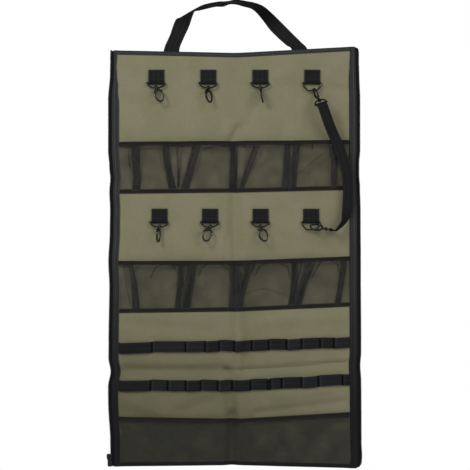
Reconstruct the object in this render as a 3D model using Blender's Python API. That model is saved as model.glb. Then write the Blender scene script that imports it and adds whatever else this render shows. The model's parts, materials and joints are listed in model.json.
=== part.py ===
"""Hanging organizer: a canvas panel with mesh pockets, webbing loops and snap hooks.

The panel folds in half about its upright centre line, with everything inside,
and an open-end zip joins its two long edges. It is carried and hung by the handle.

Metres. X runs to the right, Y to the back and Z up. The origin is on the underside
of the handle at its highest point, in the plane of the panel's front face.
"""

import math

import bmesh
import bpy
from mathutils import Matrix, Vector

# Clearances
GAP = 0.0003             # between pieces that touch
CENTRE_CUT = 0.0004      # between the two halves at the fold
PIN_PLAY = 0.00035       # between a pin or bar and its hole, on the radius
WELD = 1e-5              # points nearer than this are one

# Panel
BODY_WIDTH = 0.600       # across the two zip coils
BODY_HEIGHT = 1.000
HANDLE_RISE = 0.117      # from the top edge to the underside of the handle's highest point
PANEL_THICK = 0.0020
FOLD_REACH = 0.018       # from the panel's front face to the axis it folds about

# Edge binding and zip
BINDING_WALL = 0.0008
SIDE_BINDING = 0.016
END_BINDING = 0.010
ZIP_STRIP = 0.009
ZIP_TAPE_THICK = 0.0010
ZIP_COIL_RADIUS = 0.0016
ZIP_BOX_RADIUS = 0.0026
ZIP_BOX_HEIGHT = 0.014
ZIP_STOP_HEIGHT = 0.004
SLIDER_HEIGHT = 0.016
SLIDER_WIDTH = 0.0130
SLIDER_PLATE = 0.0013
SLIDER_NECK = 0.0014
LUG_WIDTH = 0.0010
LUG_REACH = 0.0036
SLIDER_PIN_RADIUS = 0.0008
BARREL_RADIUS = 0.0019
BARREL_LENGTH = 0.0036
PULLER_WIDTH = 0.0080
PULLER_LENGTH = 0.0260
PULLER_THICK = 0.0014

# Handle
WIDE_WEBBING = 0.038
HANDLE_THICK = 0.0022
HANDLE_FRONT = 0.002     # how far the highest stretch reaches in front of the panel's face
HANDLE_FOOT = 0.045
# Each point of the handle: x, height over the top edge, and turn of the webbing in degrees
HANDLE_LEFT = (
    (-0.1520, 0.000, 0), (-0.1385, 0.035, 0), (-0.1245, 0.066, 0), (-0.1140, 0.084, 38),
    (-0.0980, 0.0960, 76), (-0.0400, 0.1105, 86), (-0.0120, 0.1170, 88),
)
HANDLE_RIGHT = (
    (0.1560, 0.000, 0), (0.1440, 0.014, 0), (0.1255, 0.030, 26), (0.1010, 0.053, 26),
    (0.0840, 0.074, 32), (0.0680, 0.093, 58), (0.0450, 0.1095, 80), (0.0150, 0.1170, 88),
)

# Rows, each measured from the top edge down to its own top
UPPER_TABS_DROP = 0.0476
UPPER_MESH_DROP = 0.2185
LOWER_TABS_DROP = 0.3810
LOWER_MESH_DROP = 0.5020
UPPER_LOOPS_DROP = 0.6980
LOWER_LOOPS_DROP = 0.7897
BOTTOM_POCKET_HEIGHT = 0.1223

# Mesh pockets and bottom pocket
MESH_HEIGHT = 0.1222
MESH_THICK = 0.0010
MESH_BULGE = 0.0120
POCKETS_PER_HALF = 2
POCKET_TAPE = 0.010
POCKET_TAPE_THICK = 0.0024
BOTTOM_POCKET_BULGE = 0.0085
POCKET_STATIONS = (0.06, 0.16, 0.32, 0.50, 0.68, 0.84, 0.94)
BOTTOM_STATIONS = (0.0, 0.25, 0.5, 0.7, 0.85, 0.95, 1.0)
POCKET_ROUNDING = 0.6    # below 1, the fullness rises faster at a pocket's sides
POCKET_WAIST = 0.6       # share of the fullness half way up

# Rows of small loops
NARROW_WEBBING = 0.025
WEBBING_THICK = 0.0016
LOOPS_PER_HALF = 7
LOOP_DEPTH = 0.0035
LOOP_STATIONS = (0.08, 0.20, 0.50, 0.80, 0.92)
LOOP_ROUNDING = 0.5

# Webbing tabs, four in a row
TAB_HEIGHT = 0.035
UPPER_TAB_PITCH = 0.1247
UPPER_TAB_SHIFT = -0.0010
LOWER_TAB_PITCH = 0.1213
LOWER_TAB_SHIFT = 0.0015

# Wire loops, rings and snap hooks
WIRE_RADIUS = 0.0018
D_SHAPE = ((0.93, 0.50), (0.70, 0.80))   # bends of a D, as shares of its half width and drop
LOOP_FLAT = 0.16         # share of a loop's clear width that half its level stretch takes
RING_FLAT = 0.25
WIDE_LOOP = 0.039        # clear width of a loop for the wide webbing
NARROW_LOOP = 0.026      # clear width of a loop for the strap
LOOP_DROP = 0.0125       # from the bar to the boss's centre
RING_DROP = 0.0190       # from the bar to the far side of a plain ring
BOSS_RADIUS = 0.0046
BOSS_HEIGHT = 0.004
BOSS_BORE = 0.0030
STEM_RADIUS = 0.0018
HEAD_RADIUS = 0.0038
HEAD_HEIGHT = 0.0018
SHOULDER_RADIUS = 0.0031
SHOULDER_DROP = 0.0038   # from the boss's centre to the top of the shoulder
SHOULDER_HEIGHT = 0.003
EYE_DROP = 0.0225        # from the boss's centre to the eye's centre
EYE_HALF_WIDTH = 0.0090  # to the middle of the eye's rim
EYE_HALF_HEIGHT = 0.0150
RIM_WIDTH = 0.0038
RIM_DEPTH = 0.0050
RIM_START = -38          # degrees round the eye from its top, where the rim starts and ends
RIM_END = 235
PIN_TURN = -30           # where the gate's pin stands on the rim
GATE_PIN_RADIUS = 0.0008
GATE_THICK = 0.0024
GATE_WIDTH = 0.0032
GATE_KNUCKLE = 0.0021
THUMB_REACH = 0.0116     # from the stem's axis to the end of the thumb tab
THUMB_SLOPE = (0.0016, 0.0014)   # how far its outer corner stands beyond and below its inner one
THUMB_RISE = 0.0048      # of its inner corner over the gate's first bend
REST_TILT = 19           # degrees that the loops hang forward of the panel
RING_TILT = 10

# Lean and turn of each snap hook as it hangs, in degrees
UPPER_HOOKS = ((20, 0), (5, 45), (9, 82))
LOWER_HOOKS = ((-5, 70), (-17, 8), (17, 0))

# Strap, hooked between the two rings
UPPER_STRAP_LEAN = 26
UPPER_STRAP_TILT = 35
UPPER_RING_OFFSET = 0.004
LOWER_EYE = (0.0125, -0.0110, -0.0133)       # from the lower ring's bar to the hook's eye
LOWER_AIM = (-0.965, 0.200, 0.170)           # the way the lower hook points
STRAP_SEAM = 0.012
STRAP_BEND_STEPS = 8
# Points of the strap between its hooks: x, y, drop below the top edge, turn in degrees
STRAP_ROUTE = (
    (0.2250, -0.0330, 0.180, 0), (0.2355, -0.0250, 0.204, 0), (0.2480, -0.0205, 0.231, 0),
    (0.2585, -0.0180, 0.260, 0), (0.2665, -0.0160, 0.288, 0), (0.2705, -0.0150, 0.315, 0),
    (0.2715, -0.0145, 0.341, 0), (0.2705, -0.0120, 0.368, 6), (0.2670, -0.0130, 0.394, 30),
    (0.2595, -0.0165, 0.414, 62),
)

# Places worked out from the sizes above
TOP = -HANDLE_RISE
BOTTOM = TOP - BODY_HEIGHT
BINDING_EDGE = BODY_WIDTH / 2 - ZIP_STRIP
FIELD_EDGE = BINDING_EDGE - SIDE_BINDING
BINDING_FRONT = -GAP - BINDING_WALL
BINDING_BACK = PANEL_THICK + GAP + BINDING_WALL
TAB_EYE = WIRE_RADIUS + PIN_PLAY
TAB_ROUND = TAB_EYE + WEBBING_THICK
BAR_DEPTH = -GAP - TAB_ROUND
COIL_X = BODY_WIDTH / 2 - ZIP_COIL_RADIUS
SLIDER_X = BODY_WIDTH / 2 + GAP + SLIDER_NECK / 2
MESH_STAND = BINDING_WALL + GAP


def clear_scene():
    for obj in list(bpy.data.objects):
        bpy.data.objects.remove(obj, do_unlink=True)


def make_material(name, color, roughness, metallic=0.0):
    material = bpy.data.materials.new(name)
    material.use_nodes = True
    shader = material.node_tree.nodes["Principled BSDF"]
    shader.inputs["Base Color"].default_value = (*color, 1.0)
    shader.inputs["Roughness"].default_value = roughness
    shader.inputs["Metallic"].default_value = metallic
    return material


def make_mesh(name, bm):
    """Close a bmesh into a mesh whose faces point outwards."""
    bmesh.ops.remove_doubles(bm, verts=bm.verts[:], dist=WELD)
    bmesh.ops.recalc_face_normals(bm, faces=bm.faces[:])
    mesh = bpy.data.meshes.new(name)
    bm.to_mesh(mesh)
    bm.free()
    return mesh


def loft(name, rings, closed=False):
    """Skin a row of rings that have equal counts; an open row gets end caps."""
    bm = bmesh.new()
    rows = [[bm.verts.new(point) for point in ring] for ring in rings]
    pairs = list(zip(rows, rows[1:]))
    if closed:
        pairs.append((rows[-1], rows[0]))
    for low, high in pairs:
        for i in range(len(low)):
            bm.faces.new((low[i - 1], low[i], high[i], high[i - 1]))
    if not closed:
        bm.faces.new(rows[0])
        bm.faces.new(rows[-1])
    return make_mesh(name, bm)


def plate(name, outline, holes, near, far, to_point):
    """Fill a flat outline round its holes, then give it its thickness."""
    bm = bmesh.new()
    edges = []
    for loop in (outline, *holes):
        verts = [bm.verts.new(to_point(a, b, near)) for a, b in loop]
        edges += [bm.edges.new((verts[i - 1], verts[i])) for i in range(len(verts))]
    bmesh.ops.triangle_fill(bm, use_beauty=True, edges=edges)
    grown = bmesh.ops.extrude_face_region(bm, geom=bm.faces[:])
    moved = [item for item in grown["geom"] if isinstance(item, bmesh.types.BMVert)]
    bmesh.ops.translate(bm, verts=moved, vec=to_point(0, 0, far) - to_point(0, 0, near))
    return make_mesh(name, bm)


def block(name, low, high):
    """A box between two corners."""
    low, high = Vector(low), Vector(high)
    bm = bmesh.new()
    place = Matrix.Translation((low + high) / 2) @ Matrix.Diagonal((*(high - low), 1.0))
    bmesh.ops.create_cube(bm, size=1.0, matrix=place)
    return make_mesh(name, bm)


def rod(name, radius, start, end, segments=12):
    """A round rod between two points."""
    start, end = Vector(start), Vector(end)
    turn = (end - start).to_track_quat("Z", "Y").to_matrix().to_4x4()
    bm = bmesh.new()
    bmesh.ops.create_cone(
        bm, cap_ends=True, segments=segments, radius1=radius, radius2=radius,
        depth=(end - start).length, matrix=Matrix.Translation((start + end) / 2) @ turn)
    return make_mesh(name, bm)


def combine(base, tool, operation):
    """A new mesh: the base joined with the tool, or cut by it."""
    shapes = []
    for mesh in (base, tool):
        obj = bpy.data.objects.new(mesh.name, mesh)
        bpy.context.collection.objects.link(obj)
        shapes.append(obj)
    modifier = shapes[0].modifiers.new("shape", "BOOLEAN")
    modifier.operation = operation
    modifier.object = shapes[1]
    graph = bpy.context.evaluated_depsgraph_get()
    mesh = bpy.data.meshes.new_from_object(shapes[0].evaluated_get(graph))
    for obj in shapes:
        bpy.data.objects.remove(obj, do_unlink=True)
    bm = bmesh.new()
    bm.from_mesh(mesh)
    bmesh.ops.dissolve_degenerate(bm, dist=WELD, edges=bm.edges[:])
    return make_mesh(base.name, bm)


def circle(radius, count, start=0.0, centre=(0.0, 0.0)):
    """Points round a circle, as pairs."""
    angles = [start + 2 * math.pi * i / count for i in range(count)]
    return [(centre[0] + radius * math.cos(a), centre[1] + radius * math.sin(a)) for a in angles]


def smooth_route(points, steps):
    """Points along a Catmull-Rom curve through rows of numbers."""
    padded = [points[0], *points, points[-1]]
    route = []
    for before, start, end, after in zip(padded, padded[1:], padded[2:], padded[3:]):
        for step in range(steps):
            t = step / steps
            weights = (
                (-t + 2 * t**2 - t**3) / 2, (2 - 5 * t**2 + 3 * t**3) / 2,
                (t + 4 * t**2 - 3 * t**3) / 2, (-t**2 + t**3) / 2)
            rows = zip(before, start, end, after)
            route.append([sum(w * v for w, v in zip(weights, values)) for values in rows])
    route.append(list(points[-1]))
    return route


def sweep_rings(path, section, turns=None, closed=False):
    """Rings of a section carried along a path and turned about it, in degrees.

    The section's first number runs in the plane of the path and Z, its second to the back.
    """
    count = len(path)
    rings = []
    for i, centre in enumerate(path):
        ahead = path[(i + 1) % count] if closed else path[min(i + 1, count - 1)]
        behind = path[i - 1] if closed or i else path[0]
        tangent = (ahead - behind).normalized()
        across = tangent.cross(Vector((0, 1, 0))).normalized()
        depth = across.cross(tangent).normalized()
        if depth.y < 0:
            depth = -depth
        turn = math.radians(turns[i]) if turns else 0.0
        wide = across * math.cos(turn) + depth * math.sin(turn)
        thick = depth * math.cos(turn) - across * math.sin(turn)
        rings.append([centre + wide * u + thick * v for u, v in section])
    return rings


def make_object(name, mesh, material, matrix=None, parent=None, smooth=False):
    """Put a mesh in the scene as one named part."""
    if smooth:
        mesh.shade_smooth()
        mesh.set_sharp_from_angle(angle=math.radians(35))
    mesh.materials.clear()
    mesh.materials.append(material)
    obj = bpy.data.objects.new(name, mesh)
    bpy.context.collection.objects.link(obj)
    attach(obj, matrix or Matrix.Identity(4), parent)
    return obj


def make_axis(name, matrix, parent=None):
    """An empty that stands on a joint's axis and carries what turns about it."""
    axis = bpy.data.objects.new(name, None)
    bpy.context.collection.objects.link(axis)
    attach(axis, matrix, parent)
    return axis


def attach(obj, matrix, parent):
    """Place an object by its matrix in the world and hang it on its parent."""
    if parent:
        bpy.context.view_layer.update()
        obj.parent = parent
        obj.matrix_local = parent.matrix_world.inverted() @ matrix
    else:
        obj.matrix_local = matrix


def frame_matrix(origin, x_axis, z_axis):
    """A turned place from an origin, a width direction and an up direction."""
    z_axis = Vector(z_axis).normalized()
    x_axis = (Vector(x_axis) - z_axis * z_axis.dot(Vector(x_axis))).normalized()
    y_axis = z_axis.cross(x_axis)
    turned = Matrix((x_axis, y_axis, z_axis)).transposed().to_4x4()
    return Matrix.Translation(origin) @ turned


# Panel, binding and zip

def panel_mesh(side):
    edge = BINDING_EDGE - BINDING_WALL - GAP
    end = BINDING_WALL + GAP
    corners = ((side * CENTRE_CUT / 2, 0, BOTTOM + end), (side * edge, PANEL_THICK, TOP - end))
    low = [min(pair) for pair in zip(*corners)]
    high = [max(pair) for pair in zip(*corners)]
    return block("panel", low, high)


def edge_binding_mesh(side):
    """A folded tape round the top, side and bottom edges, mitred at the corners."""
    x_levels = {"edge": BINDING_EDGE, "fold": BINDING_EDGE - BINDING_WALL, "lip": FIELD_EDGE}
    drops = {"edge": 0.0, "fold": BINDING_WALL, "lip": END_BINDING}
    front, back = BINDING_FRONT, BINDING_BACK
    section = (
        ("edge", front), ("lip", front), ("lip", front + BINDING_WALL), ("fold", front + BINDING_WALL),
        ("fold", back - BINDING_WALL), ("lip", back - BINDING_WALL), ("lip", back), ("edge", back))
    rings = []
    for at_corner, end, inward in ((False, TOP, -1), (True, TOP, -1), (True, BOTTOM, 1), (False, BOTTOM, 1)):
        ring = []
        for level, y in section:
            x = x_levels[level] if at_corner else CENTRE_CUT / 2
            ring.append((side * x, y, end + inward * drops[level]))
        rings.append(ring)
    return loft("edge_binding", rings)


def zip_section(side, radius, tape):
    """Outline of the zip's tape and coil, seen from above."""
    middle = PANEL_THICK / 2
    meet = math.asin(tape / 2 / radius)
    points = [(BINDING_EDGE + GAP, middle + tape / 2), (BINDING_EDGE + GAP, middle - tape / 2)]
    steps = 8
    for i in range(steps + 1):
        angle = math.pi + meet + (2 * math.pi - 2 * meet) * i / steps
        points.append((COIL_X + radius * math.cos(angle), middle + radius * math.sin(angle)))
    return [(side * x, y) for x, y in points]


def zip_mesh(side):
    """One half of the zip, with its end fitting at the bottom and its stop at the top."""
    slim = zip_section(side, ZIP_COIL_RADIUS, ZIP_TAPE_THICK)
    fitting = zip_section(side, ZIP_BOX_RADIUS, ZIP_TAPE_THICK)
    stop = zip_section(side, (ZIP_COIL_RADIUS + ZIP_BOX_RADIUS) / 2, ZIP_TAPE_THICK)
    levels = (
        (fitting, BOTTOM), (fitting, BOTTOM + ZIP_BOX_HEIGHT), (slim, BOTTOM + ZIP_BOX_HEIGHT),
        (slim, TOP - ZIP_STOP_HEIGHT), (stop, TOP - ZIP_STOP_HEIGHT), (stop, TOP))
    return loft("zip", [[(x, y, z) for x, y in outline] for outline, z in levels])


def slider_place():
    """World place of the slider: the middle of its foot, on the left zip's box."""
    return Vector((-SLIDER_X, PANEL_THICK / 2, BOTTOM + ZIP_BOX_HEIGHT + GAP))


def puller_pin():
    """The puller's pin, measured from the slider's foot."""
    reach = ZIP_COIL_RADIUS + GAP + SLIDER_PLATE + BARREL_RADIUS + GAP
    return Vector((0, -reach, SLIDER_HEIGHT - LUG_REACH))


def slider_mesh():
    """Two plates on a neck, with a channel on each side for a coil and its tape."""
    half = SLIDER_WIDTH / 2
    depth = ZIP_COIL_RADIUS + GAP + SLIDER_PLATE
    shape = block("slider", (-half, -depth, 0), (half, depth, SLIDER_HEIGHT))
    room = ZIP_COIL_RADIUS + GAP
    slot = ZIP_TAPE_THICK / 2 + GAP
    for side in (-1, 1):
        near = side * SLIDER_NECK / 2
        xs = sorted((near, near + side * (2 * ZIP_COIL_RADIUS + 2 * GAP)))
        coil = block("coil", (xs[0], -room, -GAP), (xs[1], room, SLIDER_HEIGHT + GAP))
        xs = sorted((near + side * ZIP_COIL_RADIUS, side * SLIDER_WIDTH))
        tape = block("tape", (xs[0], -slot, -GAP), (xs[1], slot, SLIDER_HEIGHT + GAP))
        shape = combine(shape, combine(coil, tape, "UNION"), "DIFFERENCE")
    pin = puller_pin()
    lug = BARREL_LENGTH / 2 + GAP
    for side in (-1, 1):
        xs = sorted((side * lug, side * (lug + LUG_WIDTH)))
        cheek = block(
            "cheek", (xs[0], pin.y - BARREL_RADIUS, pin.z - BARREL_RADIUS),
            (xs[1], -depth + SLIDER_PLATE / 2, pin.z + BARREL_RADIUS))
        shape = combine(shape, cheek, "UNION")
    reach = Vector((lug + LUG_WIDTH / 2, 0, 0))
    return combine(shape, rod("pin", SLIDER_PIN_RADIUS, pin - reach, pin + reach), "UNION")


def puller_mesh():
    """A flat pull hanging from a barrel round the slider's pin, which is its origin."""
    hole = SLIDER_PIN_RADIUS + PIN_PLAY
    barrel = plate(
        "barrel", circle(BARREL_RADIUS, 14), [circle(hole, 10)], -BARREL_LENGTH / 2,
        BARREL_LENGTH / 2, lambda a, b, x: Vector((x, a, b)))
    half, neck = PULLER_WIDTH / 2, BARREL_LENGTH / 2
    start = -(hole + BARREL_RADIUS) / 2
    clear = -BARREL_RADIUS * math.sqrt(2) - GAP
    shoulder = clear - neck
    outline = [
        (-neck, start), (neck, start), (neck, clear), (half, shoulder),
        (half, neck - PULLER_LENGTH), (half / 2, -PULLER_LENGTH), (-half / 2, -PULLER_LENGTH),
        (-half, neck - PULLER_LENGTH), (-half, shoulder), (-neck, clear)]
    flat = plate(
        "flat", outline, [], -PULLER_THICK / 2, PULLER_THICK / 2,
        lambda a, b, y: Vector((a, y, b)))
    return combine(barrel, flat, "UNION")


# Handle

def handle_mesh(side):
    """Half of the handle: a sewn foot behind the panel, a flat leg, and an edge-on top."""
    foot_y = BINDING_BACK + GAP + HANDLE_THICK / 2
    top_y = WIDE_WEBBING / 2 - HANDLE_FRONT
    points = HANDLE_LEFT if side < 0 else HANDLE_RIGHT
    foot_x = points[0][0]
    crown = (0.0, HANDLE_RISE + HANDLE_THICK / 2, 90)
    rows = [(foot_x, -HANDLE_FOOT, 0), (foot_x, -END_BINDING / 2, 0), *points[1:], crown]
    route = smooth_route(rows, 3)
    path, turns = [], []
    for x, height, turn in route:
        turn = max(turn, 0.0)
        y = foot_y + (top_y - foot_y) * math.sin(math.radians(turn))
        path.append(Vector((x, y, TOP + height)))
        turns.append(-side * turn)
    half, thin = WIDE_WEBBING / 2, HANDLE_THICK / 2
    rings = sweep_rings(path, ((-half, -thin), (half, -thin), (half, thin), (-half, thin)), turns)
    end = side * CENTRE_CUT / 2
    rings[-1] = [
        Vector((end, y, z)) for y, z in (
            (-HANDLE_FRONT, HANDLE_THICK), (-HANDLE_FRONT, 0.0),
            (WIDE_WEBBING - HANDLE_FRONT, 0.0), (WIDE_WEBBING - HANDLE_FRONT, HANDLE_THICK))]
    rings[-1] = match_ring(rings[-1], rings[-2])
    return loft("handle", rings)


def match_ring(ring, other):
    """Turn or reverse a ring so that its points lie nearest to another ring's."""
    orders = [ring[i:] + ring[:i] for i in range(len(ring))]
    orders += [order[::-1] for order in orders]
    return min(orders, key=lambda order: sum((a - b).length for a, b in zip(order, other)))


# Pockets and rows of loops

def pocket_stations(count):
    """Places across one half of a row, each with its share of the pocket's fullness."""
    start, end = CENTRE_CUT / 2, FIELD_EDGE - GAP
    width = (end - start) / count
    stations = []
    for pocket in range(count):
        left = start + pocket * width
        stations.append((left, 0.0))
        stations += [(left + s * width, math.sin(math.pi * s) ** POCKET_ROUNDING) for s in POCKET_STATIONS]
    stations.append((end, 0.0))
    return stations


def mesh_pocket_mesh(side, drop):
    """Two pleated pockets of mesh, sewn down at the sides, with a tape along the foot."""
    top = TOP - drop
    foot = top - MESH_HEIGHT
    lip = top - BINDING_WALL - GAP
    full = top - POCKET_TAPE - GAP
    mid = (full + foot + POCKET_TAPE) / 2
    rings = []
    for x, share in pocket_stations(POCKETS_PER_HALF):
        bulge = MESH_BULGE * share
        back = ((0.0, foot), (0.0, foot + POCKET_TAPE), ((MESH_STAND + bulge) * POCKET_WAIST, mid),
                (MESH_STAND + bulge, full), (MESH_STAND + bulge, lip))
        front = [(depth + MESH_THICK, z) for depth, z in reversed(back[1:])]
        tape = ((POCKET_TAPE_THICK, foot + POCKET_TAPE), (POCKET_TAPE_THICK, foot))
        outline = (*back, *front, *tape)
        rings.append([(side * x, -GAP - depth, z) for depth, z in outline])
    return loft("mesh_pocket", rings)


def mouth_binding_mesh(side, drop):
    """A folded tape over the mesh's upper edge."""
    top = TOP - drop
    slot = BINDING_WALL + MESH_THICK + 2 * GAP
    section = (
        (0.0, top), (0.0, top - POCKET_TAPE), (BINDING_WALL, top - POCKET_TAPE),
        (BINDING_WALL, top - BINDING_WALL), (slot, top - BINDING_WALL),
        (slot, top - POCKET_TAPE), (slot + BINDING_WALL, top - POCKET_TAPE),
        (slot + BINDING_WALL, top))
    rings = []
    for x, share in pocket_stations(POCKETS_PER_HALF):
        bulge = MESH_BULGE * share
        rings.append([(side * x, -GAP - bulge - depth, z) for depth, z in section])
    return loft("mouth_binding", rings)


def bottom_pocket_mesh(side):
    """Half of the wide bottom pocket, fullest at the centre, with its bound mouth."""
    start, end = CENTRE_CUT / 2, FIELD_EDGE - GAP
    foot = BOTTOM + END_BINDING + GAP
    top = BOTTOM + BOTTOM_POCKET_HEIGHT
    tape = top - POCKET_TAPE
    rings = []
    for share in BOTTOM_STATIONS:
        bulge = BOTTOM_POCKET_BULGE * math.cos(math.pi / 2 * share) ** POCKET_ROUNDING
        mid = (foot + tape) / 2
        outline = (
            (0.0, foot), (bulge * POCKET_WAIST, mid), (bulge, tape), (bulge, top),
            (bulge + POCKET_TAPE_THICK, top), (bulge + POCKET_TAPE_THICK, tape),
            (bulge + MESH_THICK, tape), (bulge * POCKET_WAIST + MESH_THICK, mid), (MESH_THICK, foot))
        x = start + share * (end - start)
        rings.append([(side * x, -GAP - depth, z) for depth, z in outline])
    return loft("bottom_pocket", rings)


def loop_row_mesh(side, drop):
    """A webbing sewn down at even steps, standing off the panel between them."""
    start, end = CENTRE_CUT / 2, FIELD_EDGE - GAP
    pitch = (end - start) / LOOPS_PER_HALF
    stations = [(start, 0.0)]
    for loop in range(LOOPS_PER_HALF):
        left = start + loop * pitch
        stations += [(left + s * pitch, math.sin(math.pi * s) ** LOOP_ROUNDING) for s in LOOP_STATIONS]
        stations.append((left + pitch, 0.0))
    top, foot = TOP - drop, TOP - drop - NARROW_WEBBING
    rings = []
    for x, share in stations:
        inner = -GAP - LOOP_DEPTH * share
        outer = inner - WEBBING_THICK
        rings.append([(side * x, inner, foot), (side * x, inner, top),
                      (side * x, outer, top), (side * x, outer, foot)])
    return loft("loop_row", rings)


# Webbing tabs

def tab_mesh():
    """Webbing folded round a bar along X, which is the origin, with both ends sewn up."""
    near = TAB_ROUND - 2 * WEBBING_THICK
    length = TAB_HEIGHT - TAB_ROUND
    sweep = math.acos(near / TAB_ROUND) - 2 * math.pi
    steps = 9
    arc = [sweep * i / steps for i in range(steps + 1)]
    outline = [(near, length), (TAB_ROUND, length)]
    outline += [(TAB_ROUND * math.cos(angle), TAB_ROUND * math.sin(angle)) for angle in arc]
    return plate(
        "tab", outline, [circle(TAB_EYE, 12)], -WIDE_WEBBING / 2, WIDE_WEBBING / 2,
        lambda a, b, x: Vector((x, a, b)))


def tab_bar(row_drop, pitch, shift, column):
    """Middle of the bar that a tab holds."""
    x = (column - 2.5) * pitch + shift
    return Vector((x, BAR_DEPTH, TOP - row_drop - TAB_HEIGHT + TAB_ROUND))


# Loops, rings and snap hooks

def wire_mesh(name, clear_width, drop, flat):
    """A closed D of round wire: a straight bar along X at the origin and a round lower side.

    flat is the share of the clear width that half the level stretch takes.
    """
    half = clear_width / 2 + WIRE_RADIUS
    side = [(clear_width / 2 + WIRE_RADIUS / 3, 0.0), (half, -1.3 * WIRE_RADIUS)]
    side += [(across * half, -down * drop) for across, down in D_SHAPE]
    side.append((flat * clear_width, -drop))
    outline = side + [(-x, z) for x, z in reversed(side)]
    path = [Vector((x, 0, z)) for x, z in smooth_route(outline, 2)]
    return loft(name, sweep_rings(path, circle(WIRE_RADIUS, 6), closed=True), closed=True)


def hook_loop_mesh(name, clear_width):
    """A wire loop with the bored boss that the snap hook swivels in."""
    wire = wire_mesh(name, clear_width, LOOP_DROP, LOOP_FLAT)
    half = BOSS_HEIGHT / 2
    boss = rod("boss", BOSS_RADIUS, (0, 0, -LOOP_DROP - half), (0, 0, -LOOP_DROP + half), 14)
    bore = rod("bore", BOSS_BORE, (0, 0, -LOOP_DROP - 3 * half), (0, 0, -LOOP_DROP + 3 * half), 14)
    return combine(combine(wire, boss, "UNION"), bore, "DIFFERENCE")


def eye_point(degrees, offset=0.0):
    """A point on the eye's rim, measured from the boss's centre; offset is outwards."""
    angle = math.radians(degrees)
    x, z = -EYE_HALF_WIDTH * math.sin(angle), EYE_HALF_HEIGHT * math.cos(angle)
    out = Vector((x / EYE_HALF_WIDTH**2, z / EYE_HALF_HEIGHT**2)).normalized()
    return Vector((x + out.x * offset, 0, z - EYE_DROP + out.y * offset))


def gate_reach():
    """From the gate's pin to its free end, and the direction of that line."""
    line = eye_point(RIM_END) - eye_point(PIN_TURN)
    return line.length, line.normalized()


def hook_mesh(head_drop):
    """A turned stem with its head, and the open oval eye that hangs from it.

    The origin is the boss's centre; head_drop is how far above it the head's foot stands.
    """
    profile = (
        (HEAD_RADIUS, head_drop + HEAD_HEIGHT), (HEAD_RADIUS, head_drop),
        (STEM_RADIUS, head_drop), (STEM_RADIUS, -SHOULDER_DROP),
        (SHOULDER_RADIUS, -SHOULDER_DROP), (SHOULDER_RADIUS, -SHOULDER_DROP - SHOULDER_HEIGHT),
        (RIM_WIDTH / 2, EYE_HALF_HEIGHT - EYE_DROP))
    stem = loft("stem", [[(x, y, z) for x, y in circle(radius, 10)] for radius, z in profile])
    steps = 17
    degrees = [RIM_START + (RIM_END - RIM_START) * i / steps for i in range(steps + 1)]
    path = [eye_point(angle) for angle in degrees]
    w, d = RIM_WIDTH / 2, RIM_DEPTH / 2
    section = ((-w, -d / 2), (-w / 2, -d), (w / 2, -d), (w, -d / 2),
               (w, d / 2), (w / 2, d), (-w / 2, d), (-w, d / 2))
    rings = sweep_rings(path, section)
    length, way = gate_reach()
    pin = eye_point(PIN_TURN)
    tangent = (path[-1] - path[-2]).normalized()
    for i, point in enumerate(rings[-1]):
        short = length + GAP - (point - pin).dot(way)
        rings[-1][i] = point + tangent * (short / tangent.dot(way))
    body = combine(stem, loft("rim", rings), "UNION")
    slot = GATE_THICK / 2 + GAP
    room = GATE_KNUCKLE + GAP
    cut = block(
        "slot", (pin.x - room, -slot, pin.z - 3 * room), (pin.x + 3 * room, slot, pin.z + room))
    body = combine(body, cut, "DIFFERENCE")
    depth = Vector((0, d - GAP, 0))
    return combine(body, rod("pin", GATE_PIN_RADIUS, pin - depth, pin + depth, 8), "UNION")


def gate_mesh():
    """The gate, drawn from its pin along the rim to the eye's nose, with a thumb tab."""
    pin = eye_point(PIN_TURN)
    length, way = gate_reach()
    half = GATE_WIDTH / 2
    reach = math.sqrt(length**2 - half**2) - GAP
    side = Vector((-way.z, 0, way.x))
    if side.x < 0:
        side = -side
    end = eye_point(RIM_END) - way * (length - reach)
    outer = [eye_point(angle, half) for angle in (-66, -80, -95, -108)]
    inner = [eye_point(angle, -half) for angle in (-108, -92, -76, -60, -48)]
    rise = outer[0].z + THUMB_RISE
    thumb = [
        Vector((THUMB_REACH - THUMB_SLOPE[0], 0, rise)),
        Vector((THUMB_REACH, 0, rise - THUMB_SLOPE[1]))]
    knuckle = []
    for i in range(6):
        angle = math.radians(215 - 32 * i)
        knuckle.append(pin + Vector((math.cos(angle), 0, math.sin(angle))) * GATE_KNUCKLE)
    outline = [*knuckle, *thumb, *outer, end + side * half, end - side * half, *inner]
    points = [(p.x - pin.x, p.z - pin.z) for p in outline]
    return plate(
        "gate", points, [circle(GATE_PIN_RADIUS + PIN_PLAY, 8)], -GATE_THICK / 2, GATE_THICK / 2,
        lambda a, b, y: Vector((a, y, b)))


def add_hook(name, loop_mesh, place, lean, turn, finishes, parent, gate):
    """A loop at its place, with the snap hook that leans and turns in its boss."""
    steel = finishes["steel"]
    loop = make_object(f"{name}_loop", loop_mesh, steel, place, parent, smooth=True)
    boss = place @ Vector((0, 0, -LOOP_DROP))
    turned = place.to_3x3() @ Matrix.Rotation(-math.radians(lean), 3, "Y")
    turned = turned @ Matrix.Rotation(math.radians(turn), 3, "Z")
    hook_place = Matrix.Translation(boss) @ turned.to_4x4()
    head_drop = BOSS_HEIGHT / 2 + HEAD_RADIUS * math.sin(abs(math.radians(lean))) + GAP
    hook = make_object(f"{name}_hook", hook_mesh(head_drop), steel, hook_place, loop, smooth=True)
    gate_place = hook_place @ Matrix.Translation(eye_point(PIN_TURN))
    make_object(f"{name}_gate", gate, steel, gate_place, hook, smooth=True)
    return loop


def hanging_place(bar, tilt):
    """Place of a loop or ring that hangs from a bar, leaning forward of the panel."""
    return Matrix.Translation(bar) @ Matrix.Rotation(-math.radians(tilt), 4, "X")


# Strap

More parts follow.
